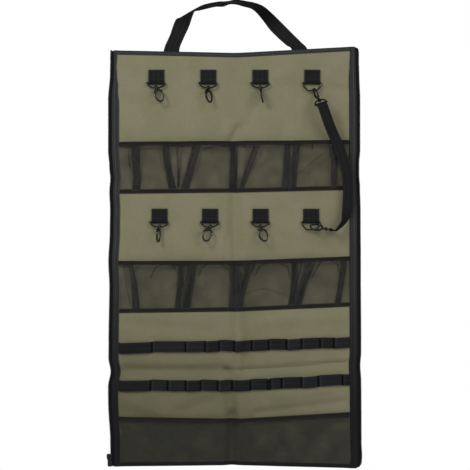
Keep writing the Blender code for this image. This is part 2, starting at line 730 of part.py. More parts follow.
def upper_strap_place(ring_place):
    """Place of the strap's upper loop: its hook hangs on the ring's far side."""
    lean, tilt = math.radians(UPPER_STRAP_LEAN), math.radians(UPPER_STRAP_TILT)
    down = Vector((math.sin(lean) * math.cos(tilt), -math.sin(tilt), -math.cos(lean) * math.cos(tilt)))
    wire = ring_place @ Vector((UPPER_RING_OFFSET, 0, -RING_DROP))
    seat = EYE_HALF_HEIGHT - RIM_WIDTH / 2 - WIRE_RADIUS - GAP
    bar = wire + down * (seat + EYE_DROP + LOOP_DROP)
    return frame_matrix(bar, (1, 0, 0), down)


def lower_strap_place(bar):
    """Place of the strap's lower loop, from the ring's bar: its hook points to the left."""
    eye = bar + Vector(LOWER_EYE)
    aim = Vector(LOWER_AIM).normalized()
    return frame_matrix(eye - aim * (EYE_DROP + LOOP_DROP), (0, 1, 0), -aim)


def folded_strap_rings(place):
    """Rings of the strap's end, from its cut edge round the loop's bar and back up."""
    bend = TAB_EYE + WEBBING_THICK / 2
    layer = (WEBBING_THICK + GAP) / 2
    start = math.acos(layer / bend)
    sweep = math.pi + 2 * start
    arc = [start - sweep * i / STRAP_BEND_STEPS for i in range(STRAP_BEND_STEPS + 1)]
    line = [(layer, STRAP_SEAM), *[(bend * math.cos(a), bend * math.sin(a)) for a in arc]]
    line.append((-layer, STRAP_SEAM))
    half, thin = NARROW_WEBBING / 2, WEBBING_THICK / 2
    rings = []
    for i, (y, z) in enumerate(line):
        behind, ahead = line[max(i - 1, 0)], line[min(i + 1, len(line) - 1)]
        way = Vector((ahead[0] - behind[0], ahead[1] - behind[1])).normalized()
        corners = ((-half, -thin), (half, -thin), (half, thin), (-half, thin))
        rings.append([place @ Vector((u, y - way.y * v, z + way.x * v)) for u, v in corners])
    return rings


def strap_mesh(upper, lower):
    """The strap in the world: its folded ends and the run between them."""
    rows = [(x, y, TOP - drop, turn) for x, y, drop, turn in STRAP_ROUTE]
    route = smooth_route(rows, 2)
    half, thin = NARROW_WEBBING / 2, WEBBING_THICK / 2
    section = ((-half, -thin), (half, -thin), (half, thin), (-half, thin))
    run = sweep_rings([Vector(row[:3]) for row in route], section, [row[3] for row in route])
    rings = folded_strap_rings(upper)
    for ring in [*run, *folded_strap_rings(lower)[::-1]]:
        rings.append(match_ring(ring, rings[-1]))
    return loft("strap", rings)


def build():
    clear_scene()
    finishes = {
        "canvas": make_material("olive_canvas", (0.195, 0.180, 0.110), 0.85),
        "binding": make_material("binding_tape", (0.020, 0.020, 0.024), 0.80),
        "webbing": make_material("black_webbing", (0.015, 0.015, 0.018), 0.75),
        "mesh": make_material("pocket_mesh", (0.045, 0.046, 0.034), 0.80),
        "zip": make_material("zip_coil", (0.018, 0.018, 0.020), 0.55),
        "steel": make_material("gunmetal", (0.120, 0.115, 0.110), 0.30, 1.0),
    }
    fold = make_axis("fold_axis", Matrix.Translation((0, -FOLD_REACH, TOP)))
    halves = (("left", -1, None), ("right", 1, fold))
    for half, side, parent in halves:
        add_half(half, side, parent, finishes)
    add_zip_slider(finishes)
    add_tabs_and_hooks(finishes, fold)


def add_half(half, side, parent, finishes):
    """Everything sewn to one half of the panel."""
    pieces = (
        ("panel", panel_mesh(side), "canvas"),
        ("edge_binding", edge_binding_mesh(side), "binding"),
        ("zip", zip_mesh(side), "zip"),
        ("handle", handle_mesh(side), "webbing"),
        ("upper_mesh", mesh_pocket_mesh(side, UPPER_MESH_DROP), "mesh"),
        ("upper_mesh_binding", mouth_binding_mesh(side, UPPER_MESH_DROP), "binding"),
        ("lower_mesh", mesh_pocket_mesh(side, LOWER_MESH_DROP), "mesh"),
        ("lower_mesh_binding", mouth_binding_mesh(side, LOWER_MESH_DROP), "binding"),
        ("upper_loops", loop_row_mesh(side, UPPER_LOOPS_DROP), "webbing"),
        ("lower_loops", loop_row_mesh(side, LOWER_LOOPS_DROP), "webbing"),
        ("bottom_pocket", bottom_pocket_mesh(side), "mesh"),
    )
    for name, mesh, finish in pieces:
        make_object(f"{name}_{half}", mesh, finishes[finish], None, parent)


def add_zip_slider(finishes):
    foot = Matrix.Translation(slider_place())
    slider = make_object("zip_slider", slider_mesh(), finishes["steel"], foot)
    pin = Matrix.Translation(slider_place() + puller_pin())
    make_object("zip_puller", puller_mesh(), finishes["steel"], pin, slider)


def add_tabs_and_hooks(finishes, fold):
    """Four tabs in each row: three with snap hooks and one with a ring for the strap."""
    tab = tab_mesh()
    loop = hook_loop_mesh("loop", WIDE_LOOP)
    ring = wire_mesh("ring", WIDE_LOOP, RING_DROP, RING_FLAT)
    gate = gate_mesh()
    rows = (
        ("upper", UPPER_TABS_DROP, UPPER_TAB_PITCH, UPPER_TAB_SHIFT, UPPER_HOOKS),
        ("lower", LOWER_TABS_DROP, LOWER_TAB_PITCH, LOWER_TAB_SHIFT, LOWER_HOOKS))
    bars = {}
    for row, drop, pitch, shift, hooks in rows:
        for column in (1, 2, 3, 4):
            bar = tab_bar(drop, pitch, shift, column)
            parent = fold if bar.x > 0 else None
            bars[row, column] = bar
            make_object(f"tab_{row}_{column}", tab, finishes["webbing"], Matrix.Translation(bar), parent)
        for column, (lean, turn) in enumerate(hooks, 1):
            bar = bars[row, column]
            place = hanging_place(bar, REST_TILT)
            parent = fold if bar.x > 0 else None
            add_hook(f"{row}_{column}", loop, place, lean, turn, finishes, parent, gate)
        place = hanging_place(bars[row, 4], RING_TILT)
        make_object(f"ring_{row}", ring, finishes["steel"], place, fold, smooth=True)
    add_strap(finishes, fold, gate, bars)


def add_strap(finishes, fold, gate, bars):
    loop = hook_loop_mesh("strap_loop", NARROW_LOOP)
    upper = upper_strap_place(hanging_place(bars["upper", 4], RING_TILT))
    lower = lower_strap_place(bars["lower", 4])
    make_object("strap", strap_mesh(upper, lower), finishes["webbing"], None, fold)
    add_hook("strap_top", loop, upper, 0, 85, finishes, fold, gate)
    add_hook("strap_bottom", loop, lower, 0, 45, finishes, fold, gate)


build()
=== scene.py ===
"""Looks of the hanging organizer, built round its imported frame.

Metres. X runs to the right, Y to the back and Z up, as in the frame. Cloth and webbing are
flat cuts that a place function lays into the object, and hardware is turned and swept.
"""

import json
import logging
import math
from collections.abc import Callable, Sequence
from dataclasses import dataclass
from enum import Enum

import bmesh
import bpy
from mathutils import Matrix, Vector, noise

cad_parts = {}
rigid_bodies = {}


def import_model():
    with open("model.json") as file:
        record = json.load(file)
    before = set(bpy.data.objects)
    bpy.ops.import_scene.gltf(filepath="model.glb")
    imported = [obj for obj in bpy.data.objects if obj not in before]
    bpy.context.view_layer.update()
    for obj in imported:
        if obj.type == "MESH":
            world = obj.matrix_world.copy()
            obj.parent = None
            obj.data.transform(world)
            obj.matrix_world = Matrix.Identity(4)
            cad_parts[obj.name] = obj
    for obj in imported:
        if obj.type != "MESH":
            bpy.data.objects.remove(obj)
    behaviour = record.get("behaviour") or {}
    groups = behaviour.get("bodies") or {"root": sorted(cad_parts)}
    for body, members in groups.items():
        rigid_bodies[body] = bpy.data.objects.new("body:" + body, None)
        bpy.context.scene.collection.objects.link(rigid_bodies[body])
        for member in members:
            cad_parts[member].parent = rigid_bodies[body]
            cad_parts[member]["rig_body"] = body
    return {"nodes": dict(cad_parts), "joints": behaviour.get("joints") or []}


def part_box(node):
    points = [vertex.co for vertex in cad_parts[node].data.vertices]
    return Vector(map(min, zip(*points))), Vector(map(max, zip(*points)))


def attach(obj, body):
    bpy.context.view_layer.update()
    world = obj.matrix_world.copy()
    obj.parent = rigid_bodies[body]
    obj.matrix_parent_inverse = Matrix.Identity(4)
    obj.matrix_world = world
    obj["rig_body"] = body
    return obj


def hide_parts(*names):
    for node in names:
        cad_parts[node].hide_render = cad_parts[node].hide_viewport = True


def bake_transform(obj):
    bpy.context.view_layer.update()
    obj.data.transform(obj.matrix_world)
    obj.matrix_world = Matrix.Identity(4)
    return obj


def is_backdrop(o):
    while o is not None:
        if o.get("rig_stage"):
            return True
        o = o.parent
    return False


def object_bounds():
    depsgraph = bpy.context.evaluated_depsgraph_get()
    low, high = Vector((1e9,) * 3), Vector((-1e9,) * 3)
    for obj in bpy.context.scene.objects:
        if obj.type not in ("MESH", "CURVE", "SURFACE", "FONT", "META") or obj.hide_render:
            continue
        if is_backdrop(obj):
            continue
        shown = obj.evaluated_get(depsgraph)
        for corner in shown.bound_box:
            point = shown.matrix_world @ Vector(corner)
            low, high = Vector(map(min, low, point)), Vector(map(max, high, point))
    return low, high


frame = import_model()
CAD_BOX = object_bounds()

LOG = logging.getLogger("organizer")

BMesh = bmesh.types.BMesh
Socket = bpy.types.NodeSocket
Piece = bpy.types.Object
Material = bpy.types.Material
Place = Callable[[float, float], Vector]
Depth = Callable[[float, float], float]
Spot = tuple[float, float]
Colour = tuple[int, int, int]
Table = tuple[tuple[float, ...], ...]
Station = tuple[Vector, Vector]

# The clearance between two pieces that lie on each other
GAP = 0.0003

# Places taken from the frame
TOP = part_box("edge_binding_left")[1].z
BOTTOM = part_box("edge_binding_left")[0].z
HEIGHT = TOP - BOTTOM
MIDDLE = (TOP + BOTTOM) / 2
BINDING_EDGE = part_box("edge_binding_right")[1].x
BINDING_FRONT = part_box("edge_binding_right")[0].y
BINDING_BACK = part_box("edge_binding_right")[1].y
FIELD_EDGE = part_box("upper_mesh_right")[1].x
ROW_EDGE = FIELD_EDGE - GAP
JOINTS = {joint["name"]: joint for joint in frame["joints"]}
TAB_BARS = tuple(
    (joint["pos_m"][0], TOP - joint["pos_m"][2])
    for name, joint in JOINTS.items() if name.endswith("_tilt"))

# Sizes shared by several pieces
BODY_EDGE = 0.300
FOLD_REACH = 0.025
NARROW_WEBBING = 0.025
WIDE_WEBBING = 0.038
WEBBING_THICK = 0.0016
TAPE_THICK = 0.0008
WIRE_RADIUS = 0.0018
PIN_PLAY = 0.00035
THREAD_BULK = 0.00042
SIDE_REACH = 0.016
ROW_TAPE = 0.010
MOUTH_SEAM = 0.0016
FOOT_SEAM = 0.0017
BACKWARDS = Vector((0, 1, 0))


class Slot(str, Enum):
    """The record's material slots."""

    CANVAS = "canvas"
    BINDING = "binding"
    WEBBING = "webbing"
    MESH = "mesh"
    ZIP = "zip"
    GUNMETAL = "gunmetal"


class Side(Enum):
    """The two halves, by the sign of their x."""

    LEFT = -1
    RIGHT = 1

    @property
    def body(self) -> str:
        """The frame's body for this half."""
        return f"{self.word}_half"

    @property
    def word(self) -> str:
        """The half's name in the nodes."""
        return self.name.lower()


def display(red: int, green: int, blue: int) -> tuple[float, float, float, float]:
    """Turn a colour as a screen shows it into the linear values that a shader takes.

    Args:
        red: Red, 0 to 255.
        green: Green, 0 to 255.
        blue: Blue, 0 to 255.

    Returns:
        The four linear values, the last one 1.
    """
    shares = [value / 255 for value in (red, green, blue)]
    linear = [s / 12.92 if s <= 0.04045 else ((s + 0.055) / 1.055) ** 2.4 for s in shares]
    return (*linear, 1.0)


def ease(value: float, low: float, high: float) -> float:
    """Rise smoothly from 0 at low to 1 at high.

    Args:
        value: The number to place.
        low: Where the rise starts.
        high: Where it ends.

    Returns:
        The share risen, 0 to 1.
    """
    share = min(max((value - low) / (high - low), 0.0), 1.0)
    return share * share * (3 - 2 * share)


def read_table(rows: Sequence[Sequence[float]], at: float) -> list[float]:
    """Read between the rows of a table whose first column rises.

    Args:
        rows: The table's rows.
        at: The first column's value to read at.

    Returns:
        The other columns there, eased from row to row.
    """
    if at <= rows[0][0]:
        return list(rows[0][1:])
    for before, after in zip(rows, rows[1:]):
        if at <= after[0]:
            share = ease(at, before[0], after[0])
            return [a + (b - a) * share for a, b in zip(before[1:], after[1:])]
    return list(rows[-1][1:])


def smooth_route(points: Sequence[Sequence[float]], steps: int) -> list[list[float]]:
    """Points along a Catmull-Rom curve through rows of numbers.

    Args:
        points: The rows that the curve goes through.
        steps: How many points each stretch gets.

    Returns:
        The curve's rows.
    """
    padded = [points[0], *points, points[-1]]
    route = []
    for before, start, end, after in zip(padded, padded[1:], padded[2:], padded[3:]):
        for step in range(steps):
            t = step / steps
            weights = (
                (-t + 2 * t**2 - t**3) / 2, (2 - 5 * t**2 + 3 * t**3) / 2,
                (t + 4 * t**2 - 3 * t**3) / 2, (-t**2 + t**3) / 2)
            rows = zip(before, start, end, after)
            route.append([sum(w * v for w, v in zip(weights, values)) for values in rows])
    route.append(list(points[-1]))
    return route


def near_line(points: Sequence[Spot], x: float, z: float) -> float:
    """Distance from a spot to a row of straight stretches.

    Args:
        points: The stretches' ends.
        x: The spot's first number.
        z: The spot's second number.

    Returns:
        The shortest distance.
    """
    spot = Vector((x, z))
    best = 1.0
    for start, end in zip(points, points[1:]):
        a, b = Vector(start), Vector(end)
        share = min(max((spot - a).dot(b - a) / (b - a).length_squared, 0.0), 1.0)
        best = min(best, (spot - a.lerp(b, share)).length)
    return best


# How the sewn body hangs


@dataclass(frozen=True)
class Crease:
    """A soft line where the cloth was folded or pushed: x, and drop below the top edge."""

    line: tuple[Spot, ...]
    width: float
    rise: float

    def relief(self, x: float, drop: float) -> float:
        """How far the cloth stands to the front here; a negative number is a dent."""
        return self.rise * math.exp(-(near_line(self.line, x, drop) / self.width) ** 2)


@dataclass(frozen=True)
class Drape:
    """How the sewn body hangs: rows sag or rise, its long edges wander, the cloth is creased."""

    # drop below the top edge; lift at the left edge, the centre and the right edge
    lifts: Table = (
        (0.000, -0.0006, -0.0063, 0.0082), (0.011, -0.0006, -0.0072, 0.0078),
        (0.034, 0.0, -0.002, 0.003), (0.047, 0.0, 0.0, 0.0),
        (0.150, 0.0, 0.0, 0.0), (0.2185, -0.0022, 0.0, 0.0024), (0.3407, -0.0040, -0.0010, 0.0053),
        (0.376, 0.0, 0.0, 0.0), (0.450, 0.0, 0.0, 0.0), (0.502, -0.0041, -0.0034, 0.0070),
        (0.624, -0.0069, -0.0030, 0.0088), (0.698, -0.0053, 0.0, 0.0084),
        (0.790, -0.0036, -0.0040, 0.0112), (0.878, -0.0024, -0.0063, 0.0086),
        (0.960, 0.0, 0.0010, 0.0), (1.000, 0.0, 0.0031, -0.0041),
    )
    # drop; how far the left and the right long edge stand to the right
    edges: Table = (
        (0.030, 0.0004, -0.0008), (0.055, 0.0, 0.0), (0.120, -0.0046, 0.0022),
        (0.240, -0.0046, 0.0022), (0.276, -0.0018, -0.0002), (0.305, 0.0005, -0.0002),
        (0.336, -0.0016, 0.0016), (0.384, 0.0, 0.0030), (0.440, -0.0008, 0.0032),
        (0.504, -0.0042, 0.0036), (0.560, -0.0018, 0.0036), (0.690, -0.0038, 0.0044),
        (0.735, -0.0040, 0.0044), (0.768, 0.0010, 0.0022), (0.805, -0.0050, 0.0044),
        (0.841, -0.0048, 0.0048), (0.940, 0.0002, 0.0052), (0.975, 0.0006, 0.0066),
        (1.000, 0.0004, 0.0040),
    )
    # drop; how much narrower the left and the right side tape look, where they curl back
    curls: Table = (
        (0.010, 0.0072, -0.0026), (0.040, 0.0094, -0.0012), (0.060, 0.0076, 0.0010),
        (0.090, 0.0024, 0.0020), (0.130, -0.0020, 0.0022), (0.250, -0.0020, 0.0022),
        (0.360, 0.0, 0.0022), (0.600, 0.0, 0.0034),
    )
    # corners: side, end and radius
    corners: Table = ((-1, 1, 0.007), (1, 1, 0.013), (1, -1, 0.014))
    creases: tuple[Crease, ...] = (
        Crease(((0.004, 0.03), (0.006, 0.22)), 0.018, -0.0016),
        Crease(((0.001, 0.33), (0.002, 0.50)), 0.016, -0.0038),
        Crease(((-0.030, 0.40), (-0.018, 0.50)), 0.012, 0.0016),
        Crease(((0.009, 0.61), (0.008, 0.70)), 0.016, 0.0044),
        Crease(((0.012, 0.70), (0.004, 0.765)), 0.014, 0.0040),
        Crease(((-0.018, 0.80), (-0.006, 0.870)), 0.013, -0.0042),
        Crease(((0.020, 0.80), (0.016, 0.87)), 0.020, 0.0022),
        Crease(((-0.0065, 0.87), (-0.0075, 1.0)), 0.012, -0.0042),
        Crease(((-0.29, 0.765), (-0.13, 0.767), (-0.02, 0.766)), 0.0125, -0.0046),
        Crease(((-0.02, 0.766), (0.06, 0.765), (0.29, 0.760)), 0.0060, -0.0027),
        Crease(((-0.040, 0.745), (-0.030, 0.775)), 0.008, -0.0012),
        Crease(((-0.010, 0.218), (0.009, 0.186)), 0.0085, -0.0030),
        Crease(((0.030, 0.175), (0.052, 0.120)), 0.014, -0.0020),
        Crease(((-0.021, 0.503), (-0.021, 0.450)), 0.006, -0.0016),
        Crease(((0.220, 0.088), (0.272, 0.100)), 0.012, -0.0020),
        Crease(((0.120, 0.060), (0.270, 0.030)), 0.020, 0.0016),
        Crease(((-0.250, 0.080), (-0.200, 0.190)), 0.022, -0.0012),
        Crease(((-0.100, 0.020), (-0.080, 0.210)), 0.024, 0.0012),
        Crease(((0.160, 0.110), (0.110, 0.215)), 0.020, -0.0012),
        Crease(((-0.260, 0.430), (-0.120, 0.480)), 0.020, 0.0012),
        Crease(((0.080, 0.440), (0.250, 0.485)), 0.018, -0.0012),
        Crease(((-0.280, 0.650), (-0.060, 0.670)), 0.016, -0.0014),
        Crease(((0.060, 0.655), (0.270, 0.640)), 0.016, 0.0014),
        Crease(((-0.26, 0.835), (-0.17, 0.870)), 0.014, 0.0018),
        Crease(((-0.13, 0.862), (-0.05, 0.838)), 0.014, -0.0018),
        Crease(((0.05, 0.868), (0.27, 0.852)), 0.009, -0.0020),
        Crease(((0.10, 0.830), (0.22, 0.824)), 0.012, 0.0014),
    )
    ripple: float = 0.0018
    strength: float = 2.3

    def lift(self, x: float, drop: float) -> float:
        """How far a row stands above its level place.

        Args:
            x: Place across.
            drop: Drop below the top edge.

        Returns:
            The lift; below zero the row sags.
        """
        left, centre, right = read_table(self.lifts, drop)
        share = min(abs(x) / FIELD_EDGE, 1.0)
        bend = 0.05
        whole = math.sqrt(1 + bend * bend) - bend
        share = (math.sqrt(share * share + bend * bend) - bend) / whole
        return centre + ((right if x > 0 else left) - centre) * share

    def move(self, point: Vector) -> Vector:
        """Where a point of the flat, level body really hangs.

        Args:
            point: A point as the frame has it.

        Returns:
            The point on the hanging body.
        """
        drop = TOP - point.z
        left, right = read_table(self.edges, drop)
        wander = (right if point.x > 0 else left) * ease(abs(point.x), 0.12, FIELD_EDGE)
        calm = 1 - 0.95 * self.near_tabs(point.x, drop)
        inside = 1 - ease(abs(point.x), FIELD_EDGE - 0.02, BINDING_EDGE)
        wave = noise.noise(Vector((point.x * 7, drop * 7, 1.7))) * self.ripple
        wave += noise.noise(Vector((point.x * 19, drop * 23, 4.1))) * self.ripple * 0.35
        relief = sum(crease.relief(point.x, drop) for crease in self.creases)
        forward = (wave + relief * self.strength) * calm * inside
        left, right = read_table(self.curls, drop)
        lip = BINDING_EDGE - SIDE_REACH
        curl = ease(abs(point.x), 0.20, lip) * (1 - ease(abs(point.x), lip, BINDING_EDGE))
        wander -= (right if point.x > 0 else left) * curl
        x, z = self.round_corner(point.x, point.z)
        return Vector((x + wander, point.y - forward, z + self.lift(x, TOP - z)))

    def round_corner(self, x: float, z: float) -> Spot:
        """Where a spot of the square body lies once its corners are rounded.

        Args:
            x: Place across.
            z: Height.

        Returns:
            The spot's x and z.
        """
        for side, end, radius in self.corners:
            middle_x = BODY_EDGE - radius
            middle_z = TOP - radius if end > 0 else BOTTOM + radius
            a = min((x * side - middle_x) / radius, 1.1)
            b = min((z - middle_z) * end / radius, 1.1)
            if a > 0 and b > 0:
                return (side * (middle_x + radius * a * math.sqrt(1 - b * b / 2)),
                        middle_z + end * radius * b * math.sqrt(1 - a * a / 2))
        return x, z

    @staticmethod
    def near_tabs(x: float, drop: float) -> float:
        """1 behind a tab, where its stitches hold the cloth flat, falling to 0 round it.

        Args:
            x: The place across.
            drop: The depth below the top edge.

        Returns:
            The share, 0 to 1.
        """
        best = 0.0
        for bar_x, bar_drop in TAB_BARS:
            below = drop - bar_drop
            if abs(x - bar_x) < 0.050 and -0.070 < below < 0.045:
                across = 1 - ease(abs(x - bar_x), 0.022, 0.050)
                down = ease(below, -0.070, -0.040) * (1 - ease(below, 0.006, 0.045))
                best = max(best, across * down)
        return best


DRAPE = Drape()


def hang(x: float, y: float, z: float) -> Vector:
    """Where a spot of the flat, level body really hangs."""
    return DRAPE.move(Vector((x, y, z)))


# Finishes


class Board:
    """A finish's node board, with one short method for each kind of step."""

    def __init__(self, name: str) -> None:
        """Start a material with its shader.

        Args:
            name: The material's name.
        """
        self.material = bpy.data.materials.new(name)
        self.material.use_nodes = True
        self.nodes = self.material.node_tree.nodes
        self.links = self.material.node_tree.links
        self.shader = self.nodes["Principled BSDF"]

    def feed(self, socket: Socket, value: object) -> None:
        """Link an output to a socket, or set the socket's own value."""
        if isinstance(value, Socket):
            self.links.new(value, socket)
        else:
            socket.default_value = value

    def step(self, kind: str, output: int | str, settings: dict, **values: object) -> Socket:
        """Add a node.

        Args:
            kind: The node's type.
            output: Which output to give back.
            settings: The node's own options.
            **values: Values or outputs for its inputs, spaces written as underscores.

        Returns:
            The output asked for.
        """
        node = self.nodes.new(kind)
        for option, choice in settings.items():
            setattr(node, option, choice)
        for name, value in values.items():
            self.feed(node.inputs[name.replace("_", " ")], value)
        return node.outputs[output]

    def math(self, operation: str, first: object, second: object = 0.0) -> Socket:
        """Work out one number from two.

        Args:
            operation: The math node's operation.
            first: An output or a value.
            second: An output or a value.

        Returns:
            The result.
        """
        node = self.nodes.new("ShaderNodeMath")
        node.operation = operation
        self.feed(node.inputs[0], first)
        self.feed(node.inputs[1], second)
        return node.outputs[0]

    def object_place(self) -> Socket:
        """Coordinates in metres in the row frame."""
        return self.step("ShaderNodeTexCoord", "Object", {})

    def cut_place(self) -> tuple[Socket, Socket]:
        """Metres along the cut's width and its length."""
        across, along, _ = self.axes(self.step("ShaderNodeTexCoord", "UV", {}))
        return across, along

    def axes(self, place: Socket) -> list[Socket]:
        """Split coordinates into x, y and z.

        Args:
            place: The coordinates.

        Returns:
            Their x, y and z.
        """
        node = self.nodes.new("ShaderNodeSeparateXYZ")
        self.links.new(place, node.inputs[0])
        return list(node.outputs)

    def bunch(self) -> Socket:
        """How closely the piece's cloth is gathered, and how much painted shade and painted
        highlight it gets.
        """
        named = {"attribute_name": "bunch", "attribute_type": "GEOMETRY"}
        return self.step("ShaderNodeAttribute", "Fac", named)

    def cloud(self, scale: float, detail: float = 2.0) -> Socket:
        """Soft noise in the row frame, about so many lumps to the metre."""
        place = self.object_place()
        return self.step("ShaderNodeTexNoise", 0, {}, Vector=place, Scale=scale, Detail=detail)

    def wave(self, along: object, pitch: float, shift: object = 0.0) -> Socket:
        """A sine of the given pitch, from -1 to 1."""
        turns = self.math("MULTIPLY", along, 2 * math.pi / pitch)
        return self.math("SINE", self.math("ADD", turns, shift))

    def spread(
            self, value: object, low: float, high: float, start: float, end: float) -> Socket:
        """Carry a number from one span to another, held at both ends."""
        return self.step(
            "ShaderNodeMapRange", 0, {}, Value=value, From_Min=low, From_Max=high,
            To_Min=start, To_Max=end)

    def tint(self, share: object, first: object, second: object) -> Socket:
        """Mix two colours by a share.

        Args:
            share: How much of the second colour to take.
            first: An output or a value.
            second: An output or a value.

        Returns:
            The mixed colour.
        """
        node = self.nodes.new("ShaderNodeMix")
        node.data_type = "RGBA"
        self.feed(node.inputs["Factor"], share)
        colours = [socket for socket in node.inputs if socket.type == "RGBA"]
        self.feed(colours[0], first)
        self.feed(colours[1], second)
        return next(socket for socket in node.outputs if socket.type == "RGBA")

    def dress(self, bump: object, depth: float, **values: object) -> Material:
        """Give the shader its values and its surface relief.

        Args:
            bump: The relief's height, 0 to 1.
            depth: The relief's depth in metres.
            **values: The shader's other inputs, spaces written as underscores.

        Returns:
            The finished material.
        """
        normal = self.step("ShaderNodeBump", 0, {}, Height=bump, Distance=depth, Strength=1.0)
        self.feed(self.shader.inputs["Normal"], normal)
        for name, value in values.items():
            self.feed(self.shader.inputs[name.replace("_", " ")], value)
        return self.material


@dataclass(frozen=True)
class CanvasFinish:
    """Plain-woven canvas with a dull coat, mottled, and darkened by painted shade towards the foot
    and on the left.
    """

    olive: Colour = (124, 122, 94)
    beige: Colour = (131, 125, 101)
    # Colour of the painted shade, also used for a fine random darker speckle
    shade: Colour = (88, 85, 62)
    thread: float = 0.0011

    def material(self) -> Material:
        """Build the material.

        Returns:
            The material.
        """
        board = Board("olive_canvas")
        across, along = board.cut_place()
        warp = board.wave(across, self.thread)
        weft = board.wave(along, self.thread)
        weave = board.spread(board.math("MULTIPLY", warp, weft), -1.0, 1.0, 0.0, 1.0)
        mottle = board.spread(board.cloud(14.0, 4.0), 0.38, 0.62, 0.0, 1.0)
        colour = board.tint(mottle, display(*self.olive), display(*self.beige))
        # Painted shade: darker towards the foot and most on the left, standing in for the light
        # falling off
        x, _, z = board.axes(board.object_place())
        low = board.spread(z, MIDDLE - 0.083, BOTTOM + 0.137, 0.0, 1.0)
        left = board.spread(x, -0.28, 0.28, 1.0, 0.22)
        painted_shade = board.math("MULTIPLY", board.math("MULTIPLY", low, left),
                           board.spread(board.cloud(9.0), 0.3, 0.7, 0.8, 1.0))
        colour = board.tint(painted_shade, colour, display(*self.shade))
        worn = board.spread(board.cloud(260.0, 5.0), 0.35, 0.70, 0.0, 0.16)
        colour = board.tint(worn, colour, display(*self.shade))
        # Painted shade in the hollows between the threads
        weave_shade = board.spread(weave, 0.0, 0.35, 0.22, 0.0)
        colour = board.tint(weave_shade, colour, display(62, 60, 44))
        rough = board.spread(board.cloud(60.0), 0.3, 0.7, 0.72, 0.88)
        return board.dress(
            weave, 0.00012, Base_Color=colour, Roughness=rough, Specular_IOR_Level=0.3)


@dataclass(frozen=True)
class TapeFinish:
    """Woven tape: ribs across it, and paler lines along it. Painted shade darkens the hollows
    between the ribs and, where asked, one lip and the foot; its attribute paints shade and
    highlights.
    """

    name: str
    body: Colour
    line: Colour
    rib: float
    stripe: float
    width: float
    lip: float = 0.0
    fade: float = 0.0

    def material(self) -> Material:
        """Build the material.

        Returns:
            The material.
        """
        board = Board(self.name)
        across, along = board.cut_place()
        phase = board.math("MULTIPLY", board.wave(across, self.stripe), 1.5)
        ribs = board.spread(board.wave(along, self.rib, phase), -1.0, 1.0, 0.0, 1.0)
        lines = board.spread(board.wave(across, self.width), 0.55, 1.0, 0.0, 1.0)
        worn = board.math("MULTIPLY", lines, board.spread(board.cloud(25.0), 0.3, 0.7, 0.3, 0.9))
        colour = board.tint(worn, display(*self.body), display(*self.line))
        dust = board.spread(board.cloud(700.0, 3.0), 0.55, 0.8, 0.0, 0.35)
        colour = board.tint(dust, colour, display(*self.line))
        # Painted shade in the hollows between the ribs
        groove_shade = board.spread(ribs, 0.0, 0.4, 0.4, 0.0)
        colour = board.tint(groove_shade, colour, display(14, 14, 16))
        # Painted light from the attribute: painted shade where it is above 0, a painted highlight
        # where it is below 0
        press = board.bunch()
        colour = board.tint(board.spread(press, 0.0, 1.0, 0.0, 0.9), colour, display(6, 6, 7))
        colour = board.tint(board.spread(press, 0.0, -1.0, 0.0, 0.8), colour, display(62, 62, 70))
        # Painted shade along one lip of the tape
        if self.lip:
            rim = board.spread(across, self.lip * 0.5, self.lip, 0.8, 0.0)
            colour = board.tint(rim, colour, display(10, 10, 12))
        # Painted shade: darker towards the foot, standing in for the light falling off
        if self.fade:
            height = board.axes(board.object_place())[2]
            low = board.spread(height, MIDDLE + 0.05, BOTTOM + 0.15, 0.0, self.fade)
            colour = board.tint(low, colour, display(29, 29, 31))
        rough = board.spread(board.cloud(90.0), 0.3, 0.7, 0.66, 0.84)
        return board.dress(ribs, 0.00025, Base_Color=colour, Roughness=rough, IOR=1.04)


@dataclass(frozen=True)
class NetFinish:
    """Warp-knitted net: threads cross in diamonds and the cells between them are open."""

    name: str
    cell: Spot
    cover: float
    thread: Colour = (44, 45, 45)
    slack: float = 0.085
    lumps: float = 30.0

    def material(self) -> Material:
        """Build the material; the piece's gather attribute closes the cells where the cloth is
        gathered and darkens the thread there with painted shade.

        Returns:
            The material.
        """
        board = Board(self.name)
        across, along = board.cut_place()
        wide = board.math("MULTIPLY", across, math.pi / self.cell[0])
        tall = board.math("MULTIPLY", along, math.pi / self.cell[1])
        rising = board.math("ABSOLUTE", board.math("SINE", board.math("ADD", wide, tall)))
        falling = board.math("ABSOLUTE", board.math("SINE", board.math("SUBTRACT", wide, tall)))
        nearest = board.math("MINIMUM", rising, falling)
        bunch = board.bunch()
        slack = board.spread(board.cloud(self.lumps, 4.0), 0.36, 0.64, -self.slack, self.slack)
        edge = board.math("ADD", board.math("MULTIPLY", bunch, 1.0 - self.cover), self.cover)
        edge = board.math("ADD", edge, slack)
        solid = board.math("LESS_THAN", nearest, edge)
        round_thread = board.spread(board.math("DIVIDE", nearest, edge), 0.0, 1.0, 1.0, 0.0)
        shade = board.spread(board.cloud(160.0, 3.0), 0.3, 0.7, 0.0, 0.8)
        colour = board.tint(shade, display(*self.thread), display(61, 61, 59))
        # Painted shade on the thread where the net is gathered or folded
        colour = board.tint(bunch, colour, display(13, 13, 12))
        return board.dress(
            round_thread, 0.0003, Base_Color=colour, Roughness=0.62, Alpha=solid,
            Specular_IOR_Level=0.22)


@dataclass(frozen=True)
class NylonFinish:
    """Smooth dark nylon, for the zip's coils and fittings and for thread."""

    name: str
    colour: Colour
    roughness: float

    def material(self) -> Material:
        """Build the material.

        Returns:
            The material.
        """
        board = Board(self.name)
        grain = board.cloud(900.0, 3.0)
        lighter = tuple(min(255, value + 16) for value in self.colour)
        share = board.spread(grain, 0.35, 0.7, 0.0, 0.7)
        colour = board.tint(share, display(*self.colour), display(*lighter))
        rough = board.spread(
            board.cloud(220.0), 0.3, 0.7, self.roughness - 0.08, self.roughness + 0.10)
        return board.dress(grain, 0.00008, Base_Color=colour, Roughness=rough)


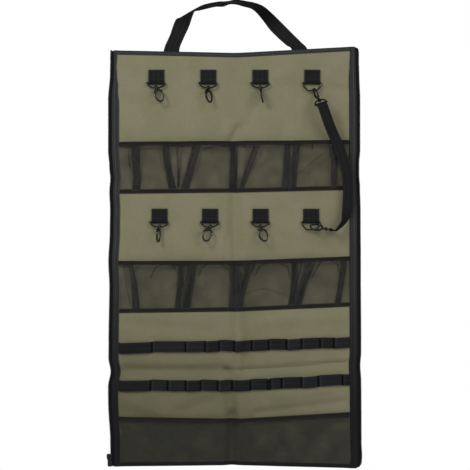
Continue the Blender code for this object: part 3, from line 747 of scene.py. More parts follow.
@dataclass(frozen=True)
class GunmetalFinish:
    """Dark plated zinc: glossy, with soft casting waves and fine rub marks."""

    dark: Colour = (30, 30, 31)
    bare: Colour = (124, 122, 118)

    def material(self) -> Material:
        """Build the material.

        Returns:
            The material.
        """
        board = Board("gunmetal")
        rub = board.spread(board.cloud(700.0, 4.0), 0.56, 0.74, 0.0, 0.3)
        colour = board.tint(rub, display(*self.dark), display(*self.bare))
        rough = board.spread(board.cloud(320.0, 3.0), 0.3, 0.7, 0.14, 0.28)
        return board.dress(
            board.cloud(260.0), 0.00020, Base_Color=colour, Roughness=rough, Metallic=1.0,
            Coat_Weight=0.5, Coat_Roughness=0.08)


class Palette:
    """Every finish, built once."""

    def __init__(self) -> None:
        """Build the materials."""
        self.canvas = CanvasFinish().material()
        # The edge tape's last two numbers set its painted shade along one lip and towards the foot
        self.edge = TapeFinish(
            "edge_tape", (56, 56, 57), (82, 82, 85), 0.0012, 0.0030, 0.0078, 0.0026,
            0.85).material()
        self.binding = TapeFinish(
            "mouth_tape", (39, 37, 35), (54, 52, 50), 0.0011, 0.0024, 0.0060).material()
        self.webbing = TapeFinish(
            "black_webbing", (34, 34, 35), (46, 46, 50), 0.0019, 0.0042, 0.0110).material()
        self.net = NetFinish("pocket_net", (0.0031, 0.0042), 0.31).material()
        self.fine_net = NetFinish(
            "bottom_net", (0.0019, 0.0027), 0.50, (50, 49, 41), 0.16, 20.0).material()
        self.coil = NylonFinish("zip_nylon", (28, 28, 30), 0.42).material()
        self.zip_tape = TapeFinish(
            "zip_tape", (28, 28, 30), (38, 38, 42), 0.0009, 0.0016, 0.0040).material()
        self.thread = NylonFinish("sewing_thread", (40, 40, 43), 0.50).material()
        self.metal = GunmetalFinish().material()


PALETTE = Palette()


# Making pieces


def to_mesh(name: str, bm: BMesh) -> bpy.types.Mesh:
    """Turn a bmesh into a mesh and free it.

    Args:
        name: The mesh's name.
        bm: The finished shape.

    Returns:
        The mesh.
    """
    mesh = bpy.data.meshes.new(name)
    bm.to_mesh(mesh)
    bm.free()
    return mesh


def link_piece(name: str, mesh: bpy.types.Mesh, material: Material, crisp: float = 38) -> Piece:
    """Put a mesh in the scene as one piece.

    Args:
        name: The piece's name.
        mesh: Its mesh, in the row frame.
        material: Its finish.
        crisp: Angle in degrees past which an edge stays sharp.

    Returns:
        The piece.
    """
    mesh.materials.clear()
    mesh.materials.append(material)
    mesh.shade_smooth()
    mesh.set_sharp_from_angle(angle=math.radians(crisp))
    piece = bpy.data.objects.new(name, mesh)
    bpy.context.collection.objects.link(piece)
    return piece


def close_piece(name: str, bm: BMesh, material: Material, crisp: float = 38) -> Piece:
    """Turn a bmesh of closed shapes into a piece whose faces point outwards."""
    bmesh.ops.recalc_face_normals(bm, faces=bm.faces[:])
    return link_piece(name, to_mesh(name, bm), material, crisp)


def dress(
        piece: Piece, slot: Slot, body: str | None = None, stands_for: Sequence[str] = (),
        reach: float = FOLD_REACH) -> None:
    """Attach a piece to the body that it rides on, or bake its place if it rides on none, and hide
    the nodes that it stands for.

    Args:
        piece: The finished piece.
        slot: The record's material slot; not used.
        body: The body it rides on; None leaves it unattached, its place baked into its mesh.
        stands_for: The nodes that it replaces.
        reach: Not used.
    """
    if body:
        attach(piece, body)
    else:
        Side.LEFT.body
        Side.RIGHT.body
        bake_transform(piece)
    if stands_for:
        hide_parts(*stands_for)
    LOG.info("%s: %d faces", piece.name, len(piece.data.polygons))


def lay_cloth(
        name: str, cut: Spot, cells: tuple[int, int], place: Place, thick: float,
        material: Material, flat: Callable[[float], float] | None = None,
        bunch: Depth | None = None) -> Piece:
    """Lay a flat cut of cloth or webbing into the object and give it its thickness.

    Args:
        name: The piece's name.
        cut: The cut's width and length, which set the weave's scale.
        cells: How many cells across and along.
        place: Where a spot of the cut lies, both its shares 0 to 1.
        thick: The cloth's thickness, behind the placed face.
        material: Its finish.
        flat: Metres across the cut for a share of the cells across, if they aren't even.
        bunch: How closely the cloth is gathered at a spot, 0 to 1, and how much painted shade it
            gets; webbing also takes values below 0 for a painted highlight.

    Returns:
        The piece.
    """
    bm = bmesh.new()
    bmesh.ops.create_grid(bm, x_segments=cells[0], y_segments=cells[1], size=0.5)
    weave = bm.loops.layers.uv.new("weave")
    gather_and_light_layer = bm.verts.layers.float.new("bunch")
    for face in bm.faces:
        for corner in face.loops:
            u, v = corner.vert.co.x + 0.5, corner.vert.co.y + 0.5
            corner[weave].uv = (flat(u) if flat else u * cut[0], v * cut[1])
    for vert in bm.verts:
        u, v = vert.co.x + 0.5, vert.co.y + 0.5
        vert[gather_and_light_layer] = bunch(u, v) if bunch else 0.0
        vert.co = place(u, v)
    bm.normal_update()
    bmesh.ops.solidify(bm, geom=bm.faces[:], thickness=thick)
    return close_piece(name, bm, material)


def folded_edge(share: float, reach: float, radius: float) -> Spot:
    """A spot on a tape that is folded round an edge.

    Args:
        share: Share of the tape's width, from its front lip to its back lip.
        reach: From a lip to the outside of the fold.
        radius: The fold's radius.

    Returns:
        Distance from the lips towards the fold, and depth behind the middle.
    """
    straight = reach - radius
    whole = 2 * straight + math.pi * radius
    run = share * whole
    if run < straight:
        return run, -radius
    if run > whole - straight:
        return whole - run, radius
    angle = (run - straight) / radius
    return straight + radius * math.sin(angle), -radius * math.cos(angle)


def bind_edge(
        name: str, ends: Spot, fold_z: float, lips: int, reach: float, radius: float,
        middle: Callable[[float], float], material: Material) -> Piece:
    """Fold a tape over a level edge.

    Args:
        name: The piece's name.
        ends: x of its two ends.
        fold_z: Height of the fold.
        lips: -1 if the lips hang below the fold, 1 if they stand above it.
        reach: From the lips to the fold.
        radius: The fold's outer radius.
        middle: Depth of the tape's middle at a place across.
        material: Its finish.

    Returns:
        The piece.
    """
    width = 2 * (reach - radius) + math.pi * radius

    def place(u: float, v: float) -> Vector:
        """Where a spot of the tape lies.

        Args:
            u: How far across the cut, 0 to 1.
            v: How far along the cut, 0 to 1.

        Returns:
            The spot.
        """
        x = ends[0] + (ends[1] - ends[0]) * v
        toward, depth = folded_edge(u if lips > 0 else 1 - u, reach, radius)
        return hang(x, middle(x) + depth, fold_z + lips * (reach - toward))

    cells = (22, round((ends[1] - ends[0]) / 0.0045))
    return lay_cloth(name, (width, ends[1] - ends[0]), cells, place, TAPE_THICK, material)


@dataclass(frozen=True)
class Seam:
    """A row of stitches between two spots, x and z, on a face at the given depth."""

    start: Spot
    end: Spot
    pitch: float = 0.0036
    length: float = 0.0025
    crosswise: bool = False

    def stitches(self, depth: Depth) -> BMesh:
        """Sew the row.

        Args:
            depth: y of the face at a spot.

        Returns:
            The stitches.
        """
        a, b = Vector(self.start), Vector(self.end)
        count = max(1, round((b - a).length / self.pitch))
        way = (b - a).normalized()
        if self.crosswise:
            way = Vector((-way.y, way.x))
        turn = Matrix.Rotation(-math.atan2(way.y, way.x), 4, "Y")
        size = Matrix.Diagonal((self.length / 2, THREAD_BULK * 0.8, THREAD_BULK, 1.0))
        bm = bmesh.new()
        for i in range(count):
            x, z = a.lerp(b, (i + 0.5) / count)
            spot = hang(x, depth(x, z), z)
            bmesh.ops.create_icosphere(
                bm, subdivisions=1, radius=1.0, matrix=Matrix.Translation(spot) @ turn @ size)
        return bm


def sew(name: str, seams: Sequence[Seam], depth: Depth, body: str | None = None) -> None:
    """Join rows of stitches into one piece of thread.

    Args:
        name: The piece's name.
        seams: The rows.
        depth: y of the sewn face at a spot.
        body: The body the thread rides on, or None to leave it unattached.
    """
    bm = bmesh.new()
    for seam in seams:
        add_shape(bm, seam.stitches(depth))
    dress(close_piece(name, bm, PALETTE.thread, 180), Slot.BINDING, body)


def row_seams(level: float) -> list[Seam]:
    """Eight short seams, end to end, that cross the whole field at one height."""
    ends = [-ROW_EDGE + ROW_EDGE * i / 4 for i in range(9)]
    return [Seam((a, level), (b, level)) for a, b in zip(ends, ends[1:])]


def bind_mouth(
        name: str, top: float, radius: float, middle: Callable[[float], float],
        nodes: Sequence[str] = ()) -> None:
    """Fold a tape over a pocket row's mouth and sew it.

    Args:
        name: The row's name.
        top: Height of the mouth.
        radius: The fold's radius.
        middle: Depth of the tape's middle at a place across.
        nodes: The nodes that the tape stands for.
    """
    piece = bind_edge(
        f"{name}_mouth_binding", (-ROW_EDGE, ROW_EDGE), top, -1, ROW_TAPE, radius, middle,
        PALETTE.binding)
    dress(piece, Slot.BINDING, None, nodes)
    seams = row_seams(top - ROW_TAPE + MOUTH_SEAM)
    sew(f"{name}_mouth_stitches", seams, lambda x, z: middle(x) - radius)


def turned(bm: BMesh, profile: Sequence[Spot], steps: int = 20) -> None:
    """Turn a profile of radius and height about Z, as a lathe does.

    Args:
        bm: Where the shape goes.
        profile: The points; a profile that starts and ends on the axis closes itself.
        steps: Steps round.
    """
    verts = [bm.verts.new((radius, 0.0, z)) for radius, z in profile]
    edges = [bm.edges.new(pair) for pair in zip(verts, verts[1:])]
    bmesh.ops.spin(
        bm, geom=verts + edges, cent=(0, 0, 0), axis=(0, 0, 1), angle=2 * math.pi,
        steps=steps, use_merge=True)
    bmesh.ops.remove_doubles(bm, verts=bm.verts[:], dist=1e-6)


def swept(
        bm: BMesh, section: Sequence[Spot], stations: Sequence[Matrix], ring: bool = False) -> None:
    """Carry a closed section through a row of stations, then cap both ends or join them.

    Args:
        bm: Where the shape goes; empty if the ends are joined.
        section: The section's points in a station's XY plane.
        stations: The places that it passes.
        ring: Whether the last station's section is joined to the first.
    """
    start = [bm.verts.new(stations[0] @ Vector((a, b, 0.0))) for a, b in section]
    edges = [bm.edges.new(pair) for pair in zip(start, start[1:] + start[:1])]
    first = list(edges)
    for before, after in zip(stations, stations[1:]):
        grown = bmesh.ops.extrude_edge_only(bm, edges=edges)["geom"]
        moved = {item for item in grown if isinstance(item, bmesh.types.BMVert)}
        edges = [
            item for item in grown
            if isinstance(item, bmesh.types.BMEdge) and all(v in moved for v in item.verts)]
        bmesh.ops.transform(bm, matrix=after @ before.inverted(), verts=list(moved))
    if ring:
        bmesh.ops.bridge_loops(bm, edges=first + edges)
        return
    for cap in (first, edges):
        bmesh.ops.contextual_create(bm, geom=cap)


def rounded(width: float, depth: float, corner: float, steps: int = 3) -> list[Spot]:
    """Points of a rectangle with round corners, centred.

    Args:
        width: Its width.
        depth: Its depth.
        corner: The corners' radius.
        steps: Steps round each corner.

    Returns:
        The points in order.
    """
    points = []
    for quarter, (sx, sy) in enumerate(((1, 1), (-1, 1), (-1, -1), (1, -1))):
        for step in range(steps + 1):
            angle = math.pi / 2 * (quarter + step / steps)
            points.append((
                sx * (width / 2 - corner) + corner * math.cos(angle),
                sy * (depth / 2 - corner) + corner * math.sin(angle)))
    return points


def bent_wire(bm: BMesh, points: Sequence[Vector], radius: float, steps: int = 12) -> None:
    """A closed ring of round wire through points in a plane of constant y.

    Args:
        bm: Where the shape goes.
        points: The wire's middle, once round.
        radius: The wire's radius.
        steps: Steps round the wire.
    """
    following = [*points[1:], points[0]]
    stations = [
        frame_matrix(point, BACKWARDS, (after - points[i - 1]).normalized())
        for i, (point, after) in enumerate(zip(points, following))]
    angles = [2 * math.pi * i / steps for i in range(steps)]
    section = [(radius * math.cos(angle), radius * math.sin(angle)) for angle in angles]
    made = bmesh.new()
    swept(made, section, stations, True)
    add_shape(bm, made)


def add_shape(bm: BMesh, shape: BMesh, place: Matrix | None = None) -> None:
    """Put a finished shape into another, at its place if it has one, and free it.

    Args:
        bm: Where the shape goes.
        shape: The finished shape.
        place: Its place, or None if it already stands there.
    """
    if place is not None:
        bmesh.ops.transform(shape, matrix=place, verts=shape.verts[:])
    mesh = to_mesh("shape", shape)
    bm.from_mesh(mesh)
    bpy.data.meshes.remove(mesh)


def frame_matrix(origin: Vector, x_axis: Vector, z_axis: Vector) -> Matrix:
    """A turned place from an origin, a width direction and an up direction.

    Args:
        origin: The origin.
        x_axis: The width direction.
        z_axis: The up direction, which the width is squared to.

    Returns:
        The place.
    """
    z_axis = z_axis.normalized()
    x_axis = (x_axis - z_axis * z_axis.dot(x_axis)).normalized()
    turned_axes = Matrix((x_axis, z_axis.cross(x_axis), z_axis)).transposed().to_4x4()
    return Matrix.Translation(origin) @ turned_axes


def rod(bm: BMesh, radius: float, start: Vector, end: Vector, steps: int = 14) -> None:
    """A round rod with softened ends between two points.

    Args:
        bm: Where the shape goes.
        radius: The rod's radius.
        start: One end.
        end: The other end.
        steps: Steps round.
    """
    length = (end - start).length
    soft = radius * 0.3
    shape = bmesh.new()
    turned(shape, ((0, 0), (radius - soft, 0), (radius, soft), (radius, length - soft),
                   (radius - soft, length), (0, length)), steps)
    turn = (end - start).to_track_quat("Z", "Y").to_matrix().to_4x4()
    add_shape(bm, shape, Matrix.Translation(start) @ turn)


def block(bm: BMesh, low: Sequence[float], high: Sequence[float], soften: float) -> None:
    """A block between two corners with rounded edges.

    Args:
        bm: Where the shape goes.
        low: Its lowest corner.
        high: Its highest corner.
        soften: The width of its rounded edges.
    """
    low, high = Vector(low), Vector(high)
    shape = bmesh.new()
    size = Matrix.Diagonal((*(high - low), 1.0))
    bmesh.ops.create_cube(shape, size=1.0, matrix=Matrix.Translation((low + high) / 2) @ size)
    bmesh.ops.bevel(
        shape, geom=shape.edges[:], offset=soften, segments=3, profile=0.5, affect="EDGES",
        material=-1)
    add_shape(bm, shape)


def plate(bm: BMesh, outline: Sequence[Spot], near: float, far: float, soften: float) -> None:
    """A flat plate of an outline in X and Z, between two depths, with softened rims.

    Args:
        bm: Where the shape goes.
        outline: The points in order.
        near: y of its front.
        far: y of its back.
        soften: The width of its rounded rims.
    """
    shape = bmesh.new()
    face = shape.faces.new([shape.verts.new((x, near, z)) for x, z in outline])
    grown = bmesh.ops.extrude_face_region(shape, geom=[face])["geom"]
    moved = [item for item in grown if isinstance(item, bmesh.types.BMVert)]
    bmesh.ops.translate(shape, verts=moved, vec=(0, far - near, 0))
    rims = [edge for edge in shape.edges if abs(edge.verts[0].co.y - edge.verts[1].co.y) < 1e-7]
    bmesh.ops.bevel(
        shape, geom=rims, offset=soften, segments=2, profile=0.5, affect="EDGES", material=-1)
    add_shape(bm, shape)


# Sewn body


@dataclass(frozen=True)
class CanvasPanel:
    """The canvas, one cloth from edge to edge, cut and hemmed inside the binding."""

    thick: float = 0.0020
    inset: float = 0.0011
    cell: float = 0.0050

    def build(self) -> None:
        """Lay the canvas."""
        width = 2 * (BINDING_EDGE - self.inset)
        height = HEIGHT - 2 * self.inset
        cells = (round(width / self.cell), round(height / self.cell))

        def place(u: float, v: float) -> Vector:
            """Where a spot of the canvas lies."""
            return hang((u - 0.5) * width, 0.0, BOTTOM + self.inset + v * height)

        piece = lay_cloth("canvas_panel", (width, height), cells, place, self.thick, PALETTE.canvas)
        dress(piece, Slot.CANVAS, None, ("panel_left", "panel_right"))


@dataclass(frozen=True)
class EdgeBinding:
    """Tape folded round all four edges, wide down the sides and narrow along the ends."""

    side_reach: float = SIDE_REACH
    end_reach: float = 0.010
    dome: float = 0.0006

    def build(self) -> None:
        """Fold the four tapes and sew them down."""
        middle = (BINDING_FRONT + BINDING_BACK) / 2
        radius = (BINDING_BACK - BINDING_FRONT) / 2
        inner = BINDING_EDGE - self.side_reach
        for end, fold_z, lips in (("top", TOP, -1), ("bottom", BOTTOM, 1)):
            piece = bind_edge(
                f"{end}_binding", (-inner - 0.002, inner + 0.002), fold_z, lips, self.end_reach,
                radius, lambda x: middle, PALETTE.edge)
            dress(piece, Slot.BINDING)
        for side in Side:
            piece = self.side_tape(side, middle, radius + 0.0003)
            dress(piece, Slot.BINDING, side.body, (f"edge_binding_{side.word}",))
        self.stitch(inner)

    def side_tape(self, side: Side, middle: float, radius: float) -> Piece:
        """Fold the tape of one long edge.

        Args:
            side: Which edge.
            middle: Depth of the fold's middle.
            radius: The fold's radius.

        Returns:
            The piece.
        """
        width = 2 * (self.side_reach - radius) + math.pi * radius

        def place(u: float, v: float) -> Vector:
            """Where a spot of the tape lies.

            Args:
                u: How far across the cut, 0 to 1.
                v: How far along the cut, 0 to 1.

            Returns:
                The spot.
            """
            toward, depth = folded_edge(u if side is Side.RIGHT else 1 - u, self.side_reach, radius)
            swell = self.dome * math.sin(math.pi * min(toward / self.side_reach, 1.0))
            depth += math.copysign(swell, depth)
            x = side.value * (BINDING_EDGE - self.side_reach + toward)
            return hang(x, middle + depth, BOTTOM + v * HEIGHT)

        return lay_cloth(
            f"side_binding_{side.word}", (width, HEIGHT), (26, 210), place, TAPE_THICK,
            PALETTE.edge)

    def stitch(self, inner: float) -> None:
        """Sew a row along each tape's lip, inside its edge.

        Args:
            inner: x of the side tapes' lips.
        """
        margin = 0.0018
        front = BINDING_FRONT - 0.0003
        ends = []
        for z in (TOP - self.end_reach + margin, BOTTOM + self.end_reach - margin):
            ends.append(Seam((-inner, z), (inner, z)))
        sew("end_stitches", ends, lambda x, z: BINDING_FRONT)
        for side in Side:
            rows = []
            for x in (inner + margin, BINDING_EDGE - 0.0030):
                for part in range(8):
                    low = BOTTOM + HEIGHT * part / 8
                    rows.append(Seam((side.value * x, low), (side.value * x, low + HEIGHT / 8)))
            sew(f"side_stitches_{side.word}", rows, lambda x, z: front, side.body)


@dataclass(frozen=True)
class Wrinkle:
    """A sharp little gather in net: x, and drop below the row's top."""

    line: tuple[Spot, ...]
    width: float = 0.0016
    rise: float = 0.0016
    pull: float = 0.75

    def share(self, x: float, drop: float) -> float:
        """How strongly the gather is felt at a spot, 0 to 1."""
        wobble = 0.0016 * noise.noise(Vector((self.line[0][0] * 90, drop * 70, 3.3)))
        return math.exp(-(near_line(self.line, x + wobble, drop) / self.width) ** 2)


@dataclass(frozen=True)
class Pleat:
    """A flat fold of net, three layers thick between its two edges."""

    mouth: Spot
    foot: Spot
    bow: float = 0.0


@dataclass(frozen=True)
class NetRow:
    """A row of four net pockets with pleats, a bound mouth and a tape along the foot."""

    name: str
    drop: float
    pleats: tuple[Pleat, ...]
    wrinkles: tuple[Wrinkle, ...]
    height: float = 0.1222
    stand: float = 0.0014
    bulge: float = 0.0120
    rounding: float = 0.6
    waist: float = 0.74
    layer: float = 0.0010
    foot_layer: float = 0.0005
    turn: float = 0.0005
    mouth_radius: float = 0.0020
    tape_thick: float = 0.0024
    net_thick: float = 0.0003
    rows: int = 52
    column: float = 0.0018

    @property
    def top(self) -> float:
        """Height of the row's mouth before the cloth's own sag."""
        return TOP - self.drop

    def fullness(self, x: float) -> float:
        """How far the mouth stands off the panel at a place across.

        Args:
            x: The place across.

        Returns:
            The distance.
        """
        pocket = FIELD_EDGE / 2
        share = (abs(x) % pocket) / pocket
        return self.bulge * max(math.sin(math.pi * share), 0.0) ** self.rounding

    def fold(
            self, mouth: float, foot: float, bow: float, layer: float,
            way: int) -> list[tuple[float, ...]]:
        """Columns that turn the net back on itself.

        Args:
            mouth: x of the fold at the mouth.
            foot: x of the fold at the foot.
            bow: How far the fold curves to the right between them.
            layer: The layer that comes into the fold.
            way: 1 if it turns at its right, -1 at its left.

        Returns:
            The columns, the last one on the next layer.
        """
        rows = []
        for step in range(1, 5):
            angle = math.pi * step / 4
            out = way * self.turn * math.sin(angle)
            rows.append((mouth + out, foot + out, bow, layer + (1 - math.cos(angle)) / 2))
        return rows

    def columns(self) -> list[tuple[float, float, float, float, float]]:
        """Columns of the net from left to right, through every fold.

        Returns:
            For each one its x at the mouth and at the foot, its bow, its layer and its
            distance along the flat cloth.
        """
        stations = [(-ROW_EDGE, -ROW_EDGE, 0.0, 0.0)]
        for pleat in self.pleats:
            (mouth_left, mouth_right), (foot_left, foot_right) = pleat.mouth, pleat.foot
            stations.append((mouth_right, foot_right, pleat.bow, 0.0))
            stations += self.fold(mouth_right, foot_right, pleat.bow, 0.0, 1)
            stations += self.fold(mouth_left, foot_left, pleat.bow, 1.0, -1)
            stations.append((mouth_right - 0.0012, foot_right - 0.0012, pleat.bow, 2.0))
            stations.append((mouth_right + 0.0035, foot_right + 0.0016, pleat.bow, 0.05))
        stations.append((ROW_EDGE, ROW_EDGE, 0.0, 0.0))
        rows, along = [], 0.0
        for before, after in zip(stations, stations[1:]):
            width = (abs(after[0] - before[0]) + abs(after[1] - before[1])) / 2
            count = max(1, math.ceil(width / self.column))
            for step in range(count):
                share = step / count
                values = [a + (b - a) * share for a, b in zip(before, after)]
                rows.append((*values, along + width * share))
            along += width
        rows.append((*stations[-1], along))
        return rows

    def build(self) -> None:
        """Lay the net, bind its mouth, tape its foot and sew it down."""
        columns = self.columns()
        last = len(columns) - 1
        flat_width = columns[-1][4]
        foot = self.top - self.height

        def spot(u: float, v: float) -> tuple[float, float, float]:
            """A spot's x, its drop below the mouth and its layer.

            Args:
                u: How far across the cut, 0 to 1.
                v: How far along the cut, 0 to 1.

            Returns:
                The three numbers.
            """
            mouth_x, foot_x, bow, layer, _ = columns[round(u * last)]
            x = foot_x + (mouth_x - foot_x) * v + bow * math.sin(math.pi * v)
            return x, (1 - v) * self.height, layer

        def place(u: float, v: float) -> Vector:
            """Where a spot of the net lies.

            Args:
                u: How far across the cut, 0 to 1.
                v: How far along the cut, 0 to 1.

            Returns:
                The spot.
            """
            x, drop, layer = spot(u, v)
            gather = sum(w.rise * w.share(x, drop) for w in self.wrinkles)
            off = (self.stand + self.fullness(x)) * max(v, 0.0) ** self.waist
            off += layer * (self.foot_layer + (self.layer - self.foot_layer) * v)
            off += gather * ease(v, 0.0, 0.2)
            return hang(x, -GAP - off - self.net_thick, foot + v * self.height)

        def bunch(u: float, v: float) -> float:
            """How closely the net is gathered, which closes its cells and darkens it with painted
            shade; the pleats' folds are pressed hard.

            Args:
                u: How far across the cut, 0 to 1.
                v: How far along the cut, 0 to 1.

            Returns:
                0 where it is loose, 1 where it is pressed flat and has the most painted shade.
            """
            x, drop, layer = spot(u, v)
            fold = 0.5 if 0.1 < layer < 0.9 or 1.1 < layer < 1.9 else 0.0
            return min(1.0, fold + sum(w.pull * w.share(x, drop) for w in self.wrinkles))

        piece = lay_cloth(
            f"{self.name}_net", (flat_width, self.height), (last, self.rows), place,
            self.net_thick, PALETTE.net, lambda u: columns[round(u * last)][4], bunch)
        nodes = [f"{self.name}_mesh_{side.word}" for side in Side]
        dress(piece, Slot.MESH, None, nodes)
        bind_mouth(
            self.name, self.top, self.mouth_radius,
            lambda x: -GAP - self.stand - self.fullness(x) - self.layer,
            [f"{self.name}_mesh_binding_{side.word}" for side in Side])
        self.tape_foot(foot)

    def tape_foot(self, foot: float) -> None:
        """Lay the flat tape over the net's foot, with a stitched box on each pleat.

        Args:
            foot: Height of the row's foot.
        """
        front = -GAP - self.tape_thick

        def place(u: float, v: float) -> Vector:
            """Where a spot of the tape lies.

            Args:
                u: How far across the cut, 0 to 1.
                v: How far along the cut, 0 to 1.

            Returns:
                The spot.
            """
            x = -ROW_EDGE + 2 * ROW_EDGE * v
            soft = 0.0009 * (2 * u - 1) ** 4
            return hang(x, front + soft, foot + ROW_TAPE * (1 - u))

        piece = lay_cloth(
            f"{self.name}_foot_tape", (ROW_TAPE, 2 * ROW_EDGE), (8, 122), place,
            self.tape_thick * 0.6, PALETTE.binding)
        dress(piece, Slot.BINDING)
        seams = row_seams(foot + FOOT_SEAM) + row_seams(foot + ROW_TAPE - FOOT_SEAM)
        for pleat in self.pleats:
            for x in (pleat.foot[0] - 0.001, pleat.foot[1] + 0.001):
                seams.append(Seam((x, foot + 0.002), (x, foot + ROW_TAPE - 0.002), 0.0016, 0.0014))
        sew(f"{self.name}_foot_stitches", seams, lambda x, z: front)


@dataclass(frozen=True)
class BottomPocket:
    """The wide bottom pocket of closer net, with its bound mouth."""

    height: float = 0.1223
    bulge: float = 0.0085
    rounding: float = 0.6
    waist: float = 0.74
    stand: float = 0.0008
    mouth_radius: float = 0.0018
    net_thick: float = 0.0005
    lap: float = 0.010

    def fullness(self, x: float) -> float:
        """How far the mouth stands off the panel at a place across."""
        share = min(abs(x) / FIELD_EDGE, 1.0)
        return self.bulge * max(math.cos(math.pi / 2 * share), 0.0) ** self.rounding

    def build(self) -> None:
        """Lay the net, bind its mouth and sew it."""
        foot = BOTTOM + self.lap + GAP
        length = self.height - self.lap

        def place(u: float, v: float) -> Vector:
            """Where a spot of the net lies.

            Args:
                u: How far across the cut, 0 to 1.
                v: How far along the cut, 0 to 1.

            Returns:
                The spot.
            """
            x = (2 * u - 1) * ROW_EDGE
            off = (0.0006 + self.fullness(x)) * v ** self.waist
            off += 0.0026 * noise.noise(Vector((x * 14, v * 2.2, 5.1))) * math.sin(math.pi * v)
            return hang(x, -GAP - off - self.net_thick, foot + v * length)

        piece = lay_cloth(
            "bottom_net", (2 * ROW_EDGE, length), (130, 30), place, self.net_thick,
            PALETTE.fine_net)
        dress(piece, Slot.MESH, None, [f"bottom_pocket_{side.word}" for side in Side])
        bind_mouth(
            "bottom", BOTTOM + self.height, self.mouth_radius,
            lambda x: -GAP - self.stand - self.fullness(x) - self.net_thick)


@dataclass(frozen=True)
class LoopRow:
    """A webbing tacked down at uneven steps, so that it stands off in small loops."""

    name: str
    drop: float
    tacks: tuple[float, ...]
    depth: float = 0.0035
    rounding: float = 0.34
    stagger: float = 0.0012
    height: float = 0.0262

    def stand(self, x: float) -> float:
        """How far the webbing stands off the panel at a place across.

        Args:
            x: The place across.

        Returns:
            The distance.
        """
        stops = (-FIELD_EDGE, *self.tacks, FIELD_EDGE)
        for left, right in zip(stops, stops[1:]):
            if left <= x <= right:
                share = (x - left) / (right - left)
                full = self.depth * min(1.0, (right - left) / 0.035) ** 0.5
                return full * max(math.sin(math.pi * share), 0.0) ** self.rounding
        return 0.0

    def shift(self, x: float) -> float:
        """How far a loop sits above or below its row, a little aslant.

        Args:
            x: The place across.

        Returns:
            The height.
        """
        stops = (-FIELD_EDGE, *self.tacks, FIELD_EDGE)
        loop = sum(1 for tack in self.tacks if tack < x)
        share = (x - stops[loop]) / (stops[loop + 1] - stops[loop])
        slant = (share - 0.5) * math.sin(4.1 * loop + 1.0)
        ends = ease(share, 0.0, 0.08) * ease(1 - share, 0.0, 0.08)
        return self.stagger * (math.sin(2.3 * loop + len(self.name)) + 1.4 * slant) * ends

    def press(self, x: float) -> float:
        """1 at a tack, where painted shade darkens the webbing, below 0 on the shoulder beside it,
        where a painted highlight lightens it.

        Args:
            x: The place across.

        Returns:
            How much painted shade the webbing gets there; below 0, how much painted highlight.
        """
        off = min(((x - tack) for tack in self.tacks), key=abs)
        loop = sum(1 for tack in self.tacks if tack < x)
        # Painted highlight: a little on most loops, varying from loop to loop, and most on the
        # shoulder beside each tack
        painted_highlight = 0.06 + 0.08 * math.sin(1.9 * loop + len(self.name))
        painted_highlight += 0.34 * math.exp(-((off - 0.0046) / 0.0024) ** 2)
        return math.exp(-(off / 0.0021) ** 2) - painted_highlight * ease(abs(off), 0.0010, 0.0030)

    def build(self) -> None:
        """Lay the webbing and tack it down."""
        foot = TOP - self.drop - NARROW_WEBBING

        def place(u: float, v: float) -> Vector:
            """Where a spot of the webbing lies.

            Args:
                u: How far across the cut, 0 to 1.
                v: How far along the cut, 0 to 1.

            Returns:
                The spot.
            """
            x = -ROW_EDGE + 2 * ROW_EDGE * v
            front = -GAP - self.stand(x) - WEBBING_THICK
            z = foot + self.height * (1 - u) + self.shift(x)
            return hang(x, front, z)

        piece = lay_cloth(
            f"{self.name}_loop_row", (NARROW_WEBBING, 2 * ROW_EDGE), (10, 460), place,
            WEBBING_THICK, PALETTE.webbing, None,
            lambda u, v: self.press(-ROW_EDGE + 2 * ROW_EDGE * v))
        dress(piece, Slot.WEBBING, None, [f"{self.name}_loops_{side.word}" for side in Side])
        seams = [
            Seam((x, foot + 0.001), (x, foot + NARROW_WEBBING - 0.001), 0.0012, 0.0026, True)
            for x in self.tacks]
        sew(f"{self.name}_loop_tacks", seams, lambda x, z: -GAP - WEBBING_THICK)


